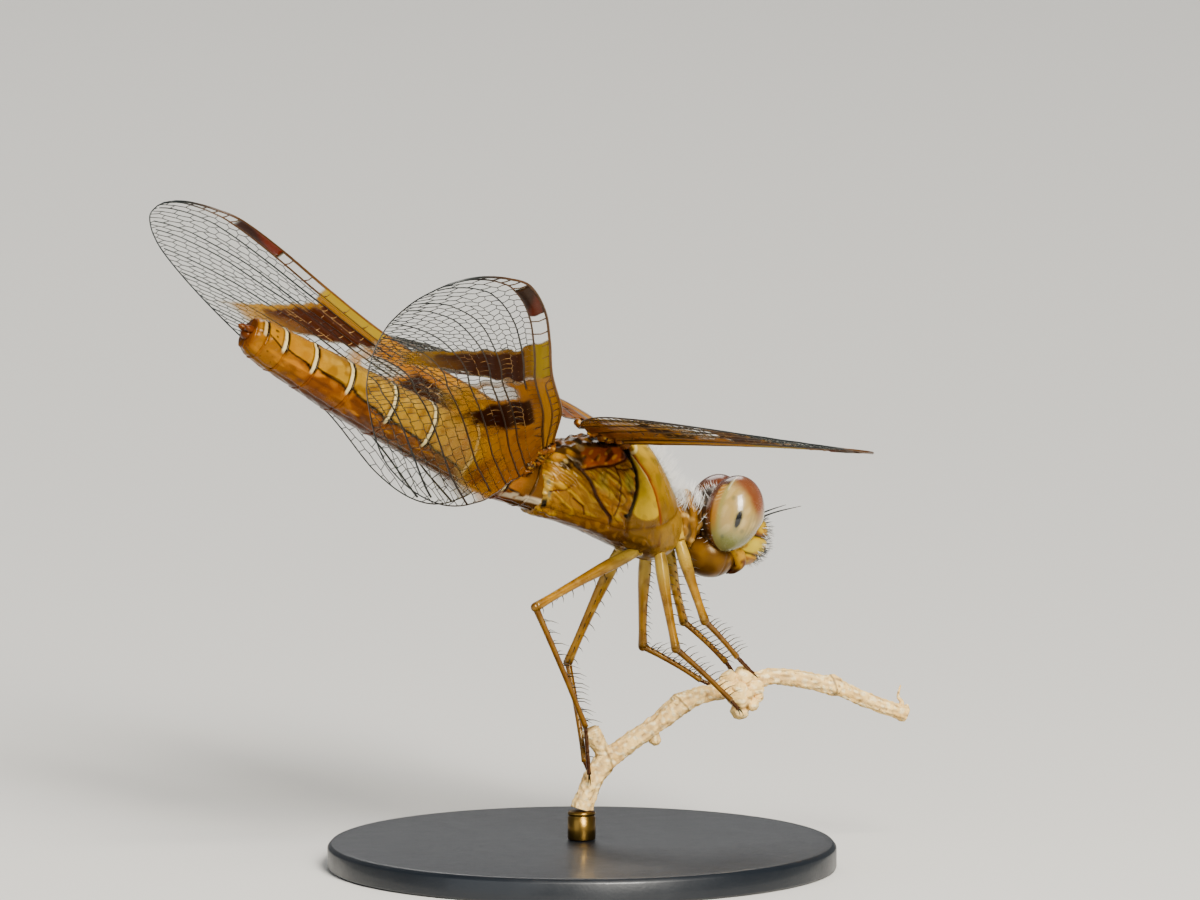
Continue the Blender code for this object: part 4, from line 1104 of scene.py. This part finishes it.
# ------------------------------------------------------------------------------------------------
# Wings: a pleated film of clear cuticle stained amber and brown, stretched over a net of hollow
# veins: stout ones run out from the base, thin ones close the cells; a dark pad weights the tip.
# ------------------------------------------------------------------------------------------------
# Length, and outline as share of the length, leading edge and trailing edge, which are measured
# across the wing towards the tail.
WING_PLANS = {
    "hind": (18.3, ((-0.06, 0.2, 1.4), (0.0, 0.0, 1.9), (0.02, -0.1, 3.6), (0.06, -0.3, 5.1),
                    (0.13, -0.55, 6.15), (0.22, -0.72, 6.6), (0.42, -0.87, 6.4), (0.60, -1.30, 5.8),
                    (0.75, -1.60, 5.1), (0.87, -1.46, 4.35), (0.93, -0.82, 3.75),
                    (0.97, -0.05, 3.1), (0.99, 0.62, 2.55), (1.0, 1.35, 1.85))),
    "fore": (18.5, ((-0.03, 0.1, 1.2), (0.0, 0.0, 1.4), (0.03, -0.05, 2.4), (0.10, -0.20, 3.2),
                    (0.20, -0.30, 3.75), (0.35, -0.42, 4.1), (0.52, -0.50, 4.4), (0.70, -0.55, 4.4),
                    (0.82, -0.50, 4.1), (0.90, -0.20, 3.7), (0.95, 0.25, 3.2), (0.98, 0.82, 2.70),
                    (0.992, 1.15, 2.4), (1.0, 1.60, 2.0))),
}
NODUS = {"hind": 0.415, "fore": 0.52}                   # the notch of the leading edge
PAD = {"hind": (0.745, 0.875), "fore": (0.785, 0.90)}   # inner and outer end of the dark pad
# Plan, side, root, angles (raised, pitched, swept; degrees) and bends: lift, sweep, twist, twist by
# the square of the share, and twist of the base.
WINGS = {
    "hindwing_right": ("hind", -1, (-2.90, -1.53, 0.75), (-25.0, -9.7, -29.2),
                       (0.08, 0.05, 0.47, -0.70, -0.69)),
    "hindwing_left": ("hind", 1, (-2.40, 1.57, 0.71), (22.0, -12.0, 28.5),
                      (0.06, -0.11, 0.33, -0.24, -0.67)),
    "forewing_right": ("fore", -1, (0.89, -1.00, 0.30), (-8.8, 21.5, -5.5),
                       (0.0, -0.14, -0.24, 0.04, -0.08)),
    "forewing_left": ("fore", 1, (0.98, 0.96, 0.43), (12.0, 28.0, 1.0),
                      (-0.16, -0.07, -0.19, 0.09, -0.11)),
}
ROW_HEIGHT, CELL = 0.43, 0.52       # of the net's cells behind the radius vein
NET_ROWS = {"hind": 18, "fore": 12}
STOUT_ROWS = (0, 2, 6, 8, 12, 16, 22, 28)               # half rows that stout veins run along
NET_RADIUS, CROSS_RADIUS, BASE_RADIUS = 0.017, 0.028, 0.022
PLEAT_HEIGHT, PLEAT_WIDTH = 0.05, 0.86
FILM_HALF, PAD_HALF = 0.012, 0.045  # half thicknesses
OUTLINE_STEPS = 260                 # points along each edge of a wing


def edges_at(kind, share):
    """Leading and trailing edge of a wing at shares of its length; past the tip it has no width."""
    rows = spline(WING_PLANS[kind][1], OUTLINE_STEPS)
    rows = np.vstack([rows, (1.03, 1.6, -9.0)])         # past the tip the edges have crossed
    return np.interp(share, rows[:, 0], rows[:, 1]), np.interp(share, rows[:, 0], rows[:, 2])


def radius_line(kind, share):
    """Place of the radius vein across the wing: the leading edge plus the front cells' width."""
    nodus = NODUS[kind]
    gap = np.interp(share, (-0.05, 0.1, nodus, nodus + 0.08, *PAD[kind], 0.97, 1.0),
                    (0.45, 0.72, 0.68, 0.62, 0.64, 0.60, 0.26, 0.08))
    return edges_at(kind, share)[0] + gap


def net_line(kind, share, row):
    """Place of a line of the net: radius + row height x row x spread, and the spread grows outwards
    as 1 + 3.2 (share - 0.42)^1.7, so the lines bend back and run out at the trailing edge."""
    spread = 0.80 + 0.20 * np.clip(share / 0.42, 0, 1) + 3.2 * np.maximum(share - 0.42, 0) ** 1.7
    return radius_line(kind, share) + ROW_HEIGHT * row * spread


def on_wing(wing, share, chord, above=0.0):
    """A point of a wing from its share of the length and place across it.

    The row turns about the span by twist t + twist2 t^2 + base (1 - t / 0.35)^2, bends by
    lift t^2 and sweep t^2, and is pleated by a small wave across; then the whole wing turns to its
    angles and moves to its root."""
    kind, side, root, angles, (lift, sweep, twist, twist2, base) = WINGS[wing]
    length = WING_PLANS[kind][0]
    t = np.maximum(share, 0)
    turn = twist * t + twist2 * t * t + base * np.maximum(0, 1 - t / 0.35) ** 2
    back = chord - radius_line(kind, share)
    wave = np.sin(back * 2 * math.pi / PLEAT_WIDTH)
    pleat = above + PLEAT_HEIGHT * wave * ramp(back, 4.5, 1.0) * ramp(share, 1.0, 0.8)
    local = np.stack([-chord * np.cos(turn) - sweep * t * t * length - pleat * np.sin(turn),
                      side * share * length + 0 * chord,
                      chord * np.sin(turn) + lift * t * t * length + pleat * np.cos(turn)], -1)
    return local @ euler(angles).T + np.array(root)


def jitter(column, row, seed):
    """A fixed random number from -0.5 to 0.5 for each pair of whole numbers: the fraction of a
    large sine."""
    mixed = np.sin(column * 12.9898 + row * 78.233 + seed * 37.719) * 43758.5453
    return mixed - np.floor(mixed) - 0.5


def stain(kind, share, chord):
    """Colour and cover of the film: amber front cells, a dark band past the nodus that fades to
    gold towards the trailing edge, a dark patch near the base, amber between, clear beyond.  Each
    cell of the net shifts the borders a little, so that they step along the veins."""
    back = chord - radius_line(kind, share)
    cell_row = np.floor(back / ROW_HEIGHT)
    cell_column = np.floor(share * WING_PLANS[kind][0] / CELL - 0.5 * (cell_row % 2))
    ragged = jitter(cell_column, cell_row, 7)
    ragged = ragged * ramp(back, 0.0, 0.05)
    deep = chord - edges_at(kind, share)[0] + 0.5 * ragged * ramp(back, 0.3, 1.2)
    shift = share - (NODUS[kind] - NODUS["hind"]) + 0.016 * ragged
    cloud = waves(np.stack([shift * 18.0, deep, 0 * deep], -1), 2.2, 101)
    amber = ramp(shift, 0.44, 0.38) * ramp(deep - 0.5 * cloud, 5.6, 3.6)
    window = np.interp(deep, (1.2, 2.4), (0.5, 1.0)) * ramp(shift, 0.293, 0.307)
    window *= ramp(shift, 0.405, 0.39)
    window *= ramp(deep, 1.30, 1.45) * ramp(deep, 3.3, 3.0) * ramp(cloud, -0.7, -0.3)
    amber = amber * (1 - (0.75 if kind == "hind" else 0.45) * window)
    thin = np.interp(deep, (2.2, 3.6, 4.8), (0.0, 0.5, 1.0))        # thin stain is yellower
    tinge = painted("BE7C0A", (
        ("D8AC30", thin),
        ("985408", ramp(cloud, 0.1, 0.9) * 0.5 + ramp(shift, 0.13, 0.02) * 0.6),
    ))
    inner = np.interp(deep, (0.0, 1.0, 2.2, 3.8, 6.0), (0.410, 0.410, 0.430, 0.515, 0.60))
    outer = np.interp(deep, (0.6, 1.5, 2.75, 4.6, 6.5), (0.600, 0.578, 0.605, 0.640, 0.70))
    band = ramp(shift, inner - 0.008, inner + 0.006) * ramp(shift, outer + 0.012, outer + 0.002)
    band = band * ramp(deep, 6.4, 5.4)
    brown = band * ramp(deep, 1.0, 1.2) * ramp(deep, 5.4, 3.8)
    brown = brown * ramp(shift, outer - 0.006, outer - 0.02)
    dark = band * ramp(deep - 0.6 * cloud, 4.6, 3.2) * ramp(deep, 0.98, 1.10)
    dark = dark * ramp(shift, outer - 0.008, outer - 0.018)
    near = np.interp(deep, (1.0, 2.0, 3.8), (0.142, 0.152, 0.205))
    far = np.interp(deep, (1.0, 2.0, 3.8), (0.290, 0.284, 0.262))
    patch = ramp(shift, near, near + 0.022) * ramp(shift, far + 0.006, far - 0.016)
    patch = patch * ramp(deep, 1.0, 1.15)
    patch *= ramp(deep - 0.4 * cloud, 4.1, 3.2)
    front = ramp(deep, 0.76, 0.68) * ramp(shift, 0.615, 0.600)
    gold = front * ramp(shift, 0.41, 0.425)
    low, high = PAD[kind]
    pad = ramp(share, low - 0.003, low + 0.003) * ramp(share, high + 0.003, high - 0.003)
    pad = pad * ramp(deep, 0.64, 0.60)
    stains = (      # colour, place, and how well it covers there
        (tinge, amber, np.interp(thin, (0, 0.5, 1), (0.90, 0.55, 0.22))),
        (over(hexed("A8740C"), hexed("BE8C24"), thin), band,
         np.interp(deep, (0, 4.5, 6.2), (0.92, 0.88, 0.40))),
        ("7A400C", brown * 0.85, 0.0),
        ("64300A", dark, 1.0),
        ("54260A", patch, 1.0),
        ("CC9018", front, 0.84),
        ("BE9A20", gold, 0.90),
        ("4A1C08", pad, 1.0),
    )
    colour = painted("B0A888", [(tone, place) for tone, place, _ in stains])
    covers = [place * strength for _, place, strength in stains]
    return colour, np.maximum.reduce([np.full(share.shape, 0.035), *covers])


def film_look():
    """The film: painted stain whose alpha is the painted cover, glossy, with a faint ripple."""
    look = new_look("wing_film", "stain", 0.34, (900.0, 7000.0, 0.35), 0.01, rough_swing=0.12,
                    shine=0.03, tint=CUTICLE_TINT)
    tree = look.node_tree
    cover = add_node(tree, "ShaderNodeAttribute", attribute_name="cover").outputs["Fac"]
    plug(tree, tree.nodes["Principled BSDF"], {"Alpha": cover})
    return look


def film(wing, rows=330, columns=110):
    """The film as a flattened tube: out along one face of each row, back along the other."""
    kind = WINGS[wing][0]
    outline = spline(WING_PLANS[kind][1], rows)
    across = np.linspace(0, 1, columns)
    share = outline[:, :1] + 0 * across
    chord = outline[:, 1:2] + (outline[:, 2:] - outline[:, 1:2]) * across
    faces = [on_wing(wing, share, chord, above) for above in (FILM_HALF, -FILM_HALF)]
    colour, cover = stain(kind, share, chord)
    ring, colour, cover = (np.concatenate([one, other[:, ::-1]], 1)
                           for one, other in (faces, (colour, colour), (cover, cover)))
    paint = {"stain": ends_too(colour), "cover": ends_too(np.repeat(cover[..., None], 3, -1))}
    return closed_grid(ring), paint


def net_nodes(kind, column, row):
    """Corners of the cells: half-cell columns along, half rows across, drawn up or down by turns so
    that the cells are six-sided, with a little irregularity; on a stout line they stay on it."""
    free = 1 - np.isin(row, STOUT_ROWS)
    way = np.where((column + row) % 2 == 0, 1, -1)
    share = (column * 0.5 + 0.30 * jitter(column, row, 1) * free) * CELL / WING_PLANS[kind][0]
    line = row / 2 + free * (0.04 * way + 0.10 * jitter(column, row, 2))
    return share, line


def net_edges(kind):
    """Pairs of cell corners to join, as (column, row, column, row), in runs and in posts.

    Rows count in halves: odd ones only exist past the split, where the cells are half as tall.
    Runs follow each row; posts join a row to the next at every second column, staggered from row
    to row."""
    columns = int(2 * WING_PLANS[kind][0] / CELL) + 4
    column, row = (part.ravel() for part in np.meshgrid(
        np.arange(columns), np.arange(2 * NET_ROWS[kind]), indexing="ij"))
    split = (0.60 + 0.10 * jitter(row // 4, 0 * row, 5)) * 2 * WING_PLANS[kind][0] / CELL
    outside, odd = column >= split.astype(int) // 4 * 4, row % 2 == 1
    tall = ~odd & ~outside & ((column - row // 2) % 2 == 0)
    short = outside & ((column - row) % 2 == 0)
    runs = np.stack([column, row, column + 1, row], -1)[outside | ~odd]
    posts = [np.stack([column, row, column, row + step], -1)[some]
             for step, some in ((2, tall), (1, short))]
    return runs, np.concatenate(posts)


def inside_wing(kind, share, chord):
    """Whether points lie inside a wing's outline."""
    lead, trail = edges_at(kind, share)
    return (chord < trail - 0.01) & (chord > lead) & (share > -0.02)


def clipped(kind, start, end):
    """Edges (share, chord) cut off at the wing's outline, by twelve halvings between the end
    inside and the one outside; edges wholly outside go."""
    a, b = inside_wing(kind, *start.T), inside_wing(kind, *end.T)
    start, end, a, b = (part[a | b] for part in (start, end, a, b))
    swap = (b & ~a)[:, None]
    start, end = np.where(swap, end, start), np.where(swap, start, end)
    whole = (a & b)[:, None]
    near, far = start.copy(), end.copy()
    for _ in range(12):
        middle = (near + far) / 2
        ok = inside_wing(kind, *middle.T)[:, None]
        near, far = np.where(ok, middle, near), np.where(ok, far, middle)
    return start, np.where(whole, end, near)


def bars_on(wing, start, end, radius):
    """One thin bar for each edge of the net, in three rings that follow the film."""
    steps = np.linspace(0, 1, 3)[None, :, None]
    path = start[:, None] + (end - start)[:, None] * steps
    points = on_wing(wing, path[..., 0], path[..., 1])
    long = np.linalg.norm(points[:, -1] - points[:, 0], axis=1) > 0.02
    up = on_wing(wing, path[long][:, :, 0], path[long][:, :, 1], 0.1) - points[long]
    return tubes(points[long], np.full((long.sum(), 3), radius), 5, up), path[long]


def cord_on(wing, share, chord, radii):
    """One stout vein along points (share, chord) with its own radius at each."""
    points = on_wing(wing, share, chord)[None]
    up = on_wing(wing, share, chord, 0.1)[None] - points
    return tubes(points, radii[None], 8, up), np.stack([share, chord], -1)[None]


def net(wing):
    """The thin bars of a wing's cells: the runs that no stout vein follows, then the posts."""
    kind = WINGS[wing][0]
    runs, posts = net_edges(kind)
    for edges in (runs[~np.isin(runs[:, 1], STOUT_ROWS)], posts):
        corners = (net_nodes(kind, *edges[:, k:k + 2].T) for k in (0, 2))
        start, end = (np.stack([share, net_line(kind, share, row)], -1) for share, row in corners)
        yield bars_on(wing, *clipped(kind, start, end), NET_RADIUS)


def row_veins(wing):
    """Stout veins along rows of the net, each as far as it runs inside the outline."""
    kind = WINGS[wing][0]
    for row in STOUT_ROWS[1:]:
        share = np.linspace(-0.01 if row > 2 else NODUS[kind] - 0.06, 1.0, 90)
        chord = net_line(kind, share, row / 2)
        inside = inside_wing(kind, share, chord)
        if row / 2 < NET_ROWS[kind] and inside.sum() > 8:
            first = np.argmax(inside)
            stretch = slice(first, first + np.argmin(np.append(inside[first:], False)))
            share, chord = share[stretch], chord[stretch]
            yield cord_on(wing, share, chord, np.linspace(0.042, 0.024, len(share)))


def front_veins(wing):
    """The rim round the wing, the radius, and the vein between radius and leading edge, which ends
    at the nodus."""
    kind = WINGS[wing][0]
    nodus = NODUS[kind]
    share, lead, trail = spline(WING_PLANS[kind][1], OUTLINE_STEPS).T
    rim = np.concatenate([np.linspace(0.080, 0.040, OUTLINE_STEPS), np.full(OUTLINE_STEPS, 0.028)])
    yield cord_on(wing, np.concatenate([share, share[::-1]]), np.concatenate([lead, trail[::-1]]),
                  rim)
    share = np.linspace(-0.03, 0.995, 160)
    yield cord_on(wing, share, radius_line(kind, share), np.linspace(0.060, 0.030, 160))
    share = np.linspace(-0.03, nodus, 70)
    gap = 0.33 * ramp(share, nodus, nodus - 0.05) * ramp(share, -0.1, 0.02)
    yield cord_on(wing, share, edges_at(kind, share)[0] + gap + 0.02, np.linspace(0.050, 0.036, 70))


# Bars that brace the base: share and half row of both ends.
BASE_BARS = np.array(((0.115, 0.0, 0.125, 4), (0.17, 2, 0.20, 6), (0.20, 6, 0.26, 6),
                      (0.17, 2, 0.27, 5.5), (0.12, 2, 0.17, 8), (0.06, 0, 0.115, 4)))


def cross_bars(wing):
    """Cross veins of the front cells, from the leading edge to the radius, and of the base."""
    kind = WINGS[wing][0]
    nodus, (pad_in, pad_out) = NODUS[kind], PAD[kind]
    share = np.concatenate([np.linspace(0.05, nodus - 0.03, 8), (nodus, ),
                            np.linspace(nodus + 0.05, pad_in - 0.03, 5), (pad_in, pad_out),
                            np.linspace(pad_out + 0.025, 0.965, 4)])
    slanted = share + np.where((share == pad_in) | (share == pad_out), 0.008, 0.002)
    yield bars_on(wing, np.stack([share, edges_at(kind, share)[0]], -1),
                  np.stack([slanted, radius_line(kind, slanted)], -1), CROSS_RADIUS)
    start, end = (np.stack([at, net_line(kind, at, row / 2)], -1)
                  for at, row in (BASE_BARS[:, :2].T, BASE_BARS[:, 2:].T))
    yield bars_on(wing, start, end, BASE_RADIUS)


def vein_coat(kind, share, chord, in_net):
    """Colours along the veins: brown-black, redder towards the front and the base, and dark in the
    stained band, where some bars of the net are pale instead: a painted highlight, as these veins
    catch the light."""
    deep = chord - edges_at(kind, share)[0]
    shift = share - (NODUS[kind] - NODUS["hind"])
    dark = ramp(stain(kind, share, chord)[1], 0.88, 0.95) * ramp(deep, 0.66, 0.8)
    # Bars of the dark band, picked by chance, that get a painted highlight.
    pale = ramp(jitter(np.floor(share * 35), np.floor(chord / ROW_HEIGHT), 9), -0.20, -0.16)
    return painted("38342C", (
        ("4E3010", ramp(shift, 0.62, 0.50) * ramp(deep, 6.2, 4.5)),
        ("70420E", ramp(shift, 0.34, 0.24) * ramp(deep, 4.2, 3.0) * 0.8),
        ("784A18", ramp(deep, 0.9, 0.66) * ramp(shift, 0.99, 0.90)),
        ("A8702C", ramp(deep, 0.5, 0.1) * ramp(shift, 0.75, 0.55) * 0.6),
        ("4A260A", dark * 0.9),
        # painted highlight on some bars of the dark band
        ("D8A860", dark * pale * in_net),
    ))


def veins(wing):
    """The whole skeleton of one wing and the colour of each of its points."""
    parts, tones = [], []
    for group in (net, row_veins, front_veins, cross_bars):
        for (points, faces), path in group(wing):
            parts.append((points, faces))
            sides = len(points) // (path.shape[0] * path.shape[1])
            share, chord = np.repeat(path.reshape(-1, 2), sides, axis=0).T
            tones.append(vein_coat(WINGS[wing][0], share, chord, group is net))
    return joined(parts), np.vstack(tones)


def pad(wing, rows=24):
    """The dark pad as a flattened tube between leading edge and radius, rounded off at both ends,
    and its colour, darker away from the inner end."""
    kind = WINGS[wing][0]
    low, high = PAD[kind]
    share = np.linspace(low + 0.004, high - 0.002, rows)
    lead, radius = edges_at(kind, share)[0], radius_line(kind, share)
    rounding = np.minimum(1, np.sin(np.linspace(0.12, 3.02, rows)) * 8)
    turn = ring_turns(16)
    middle, reach = (lead + radius) / 2, (radius - lead) / 2 * rounding
    chord = middle[:, None] + reach[:, None] * np.cos(turn)
    ring = on_wing(wing, share[:, None] + 0 * turn, chord, PAD_HALF * np.sin(turn))
    out = np.linspace(0, 1, rows)[:, None] + 0.25 * np.cos(turn)
    return ring, over(hexed("7C2E0C"), hexed("4A1A08"), ramp(out, 0.25, 0.60))


film_shine = film_look()
vein_shine = new_look("vein_shell", "coat", 0.38, (2500.0, 16000.0, 0.3), 0.006, coat=0.15)
pad_shine = new_look("wing_pad", "coat", 0.45, (2200.0, 12000.0, 0.5), 0.02, shine=0.2,
                     tint=CUTICLE_TINT)
for name in WINGS:
    sheet, sheet_paint = film(name)
    new_piece(f"{name}_film", sheet, film_shine, "wing", [name], sheet_paint)
    skeleton, tones = veins(name)
    new_piece(f"{name}_veins", skeleton, vein_shine, "wing", (), {"coat": tones})
    shell_piece(f"{name}_pad", *pad(name), pad_shine, "wing")

# Hinge plates: a row of small brown-gold knobs where each wing's veins meet the thorax.
# Share of the wing's length, place across it and radius.
HINGE_KNOBS = ((-0.012, 0.25, 0.30), (0.004, 0.62, 0.24), (-0.014, 0.92, 0.30), (0.002, 1.30, 0.22),
               (-0.012, 1.62, 0.24))
for number, name in enumerate(WINGS):
    knobs = []
    for k, (share, chord, reach) in enumerate(HINGE_KNOBS):
        middle = on_wing(name, np.array(share), np.array(chord))
        knob = egg(middle, (reach, reach * 0.9, reach * 0.8), 26, 34,
                   lambda out: 0.14 * waves(out, 0.9, 300 + 10 * number + k))[0]
        knobs.append(closed_grid(knob))
    points, faces = joined(knobs)
    tone = painted("9A5A10", (
        ("4A2008", blotches(points, 0.4, 310 + number, 0.0, 0.7)),
        ("DCA838", blotches(points, 0.35, 320 + number, 0.5, 1.0) * 0.8),
    ))
    new_piece(f"{name}_hinge", (points, faces), plate_shine, "wing", (), {"coat": tone})

# ------------------------------------------------------------------------------------------------
# Studio: a plain pale floor, a large soft box above and behind the camera, a fill from the left,
# and a long lens square to the insect's right side, slightly behind it and above.
# ------------------------------------------------------------------------------------------------
CAMERA_AZIMUTH, CAMERA_ELEVATION = math.radians(-28.0), math.radians(7.8)
VIEW_WIDTH = 47.06          # width of the view at the insect, in millimetres
LENS, SENSOR = 1200.0, 36.0
FLOOR_RADIUS = 8.0          # metres
TOWARD_KEY, KEY_DISTANCE = Vector((-0.107, -0.777, 0.596)), 0.34


def aimed(item, way):
    """Turn a lamp or the camera so that it looks along a direction."""
    item.rotation_euler = way.to_track_quat("-Z", "Y").to_euler()


def soft_box_light(name, place, target, size, power, colour):
    """A rectangular area light at a place, turned to a target point."""
    lamp = bpy.data.lights.new(name, "AREA")
    lamp.shape = "RECTANGLE"
    lamp.size, lamp.size_y = size
    lamp.energy, lamp.color = power, colour
    item = placed(name, lamp)
    item.location = place
    aimed(item, target - item.location)


centre = Vector(BODY_ORIGIN * MM)
turn = ring_turns(64)
rim = np.stack([FLOOR_RADIUS * np.cos(turn), FLOOR_RADIUS * np.sin(turn), 0 * turn], -1)
floor_mesh = bpy.data.meshes.new("floor")
floor_mesh.from_pydata(rim.tolist(), [], [list(range(64))])
floor = placed("floor", floor_mesh)
floor_mesh.materials.append(new_look("floor_paper", np.array((0.66, 0.65, 0.62)), 0.85,
                                     (8.0, 60.0, 0.02), 0.0))

back = np.array((math.sin(CAMERA_AZIMUTH) * math.cos(CAMERA_ELEVATION),
                 -math.cos(CAMERA_AZIMUTH) * math.cos(CAMERA_ELEVATION),
                 math.sin(CAMERA_ELEVATION)))
lens = bpy.data.cameras.new("camera")
lens.lens, lens.sensor_width = LENS, SENSOR
lens.clip_start, lens.clip_end = 0.05, 50.0
camera = placed("camera", lens)
camera.location = np.array(centre) + back * VIEW_WIDTH * MM * LENS / SENSOR
aimed(camera, centre - camera.location)
bpy.context.scene.camera = camera

soft_box_light("key", centre + TOWARD_KEY * KEY_DISTANCE, centre, (0.11, 0.24), 2.8,
               (1.0, 0.95, 0.86))
soft_box_light("fill", (-0.28, -0.10, 0.12), centre, (0.25, 0.25), 0.25, (0.92, 0.96, 1.0))
soft_box_light("rim", (0.10, 0.25, 0.25), centre, (0.18, 0.18), 0.45, (1.0, 0.98, 0.95))
overhead = bpy.data.lights.new("overhead", "SUN")
overhead.energy, overhead.angle, overhead.color = 2.2, 0.35, (1.0, 0.98, 0.94)
aimed(placed("overhead", overhead), -TOWARD_KEY)

# The room: a dim even light, and a pale wall beyond the floor that only the camera sees.
world = bpy.data.worlds.new("studio")
world.use_nodes = True
room = world.node_tree
dim = plug(room, room.nodes["Background"], {"Color": (0.80, 0.82, 0.84, 1.0), "Strength": 0.22})
wall = add_node(room, "ShaderNodeBackground", {"Color": (0.80, 0.79, 0.77, 1.0), "Strength": 1.05})
seen = add_node(room, "ShaderNodeLightPath").outputs["Is Camera Ray"]
mixed = add_node(room, "ShaderNodeMixShader", {0: seen, 1: dim.outputs[0], 2: wall.outputs[0]})
plug(room, room.nodes["World Output"], {"Surface": mixed.outputs[0]})
bpy.context.scene.world = world
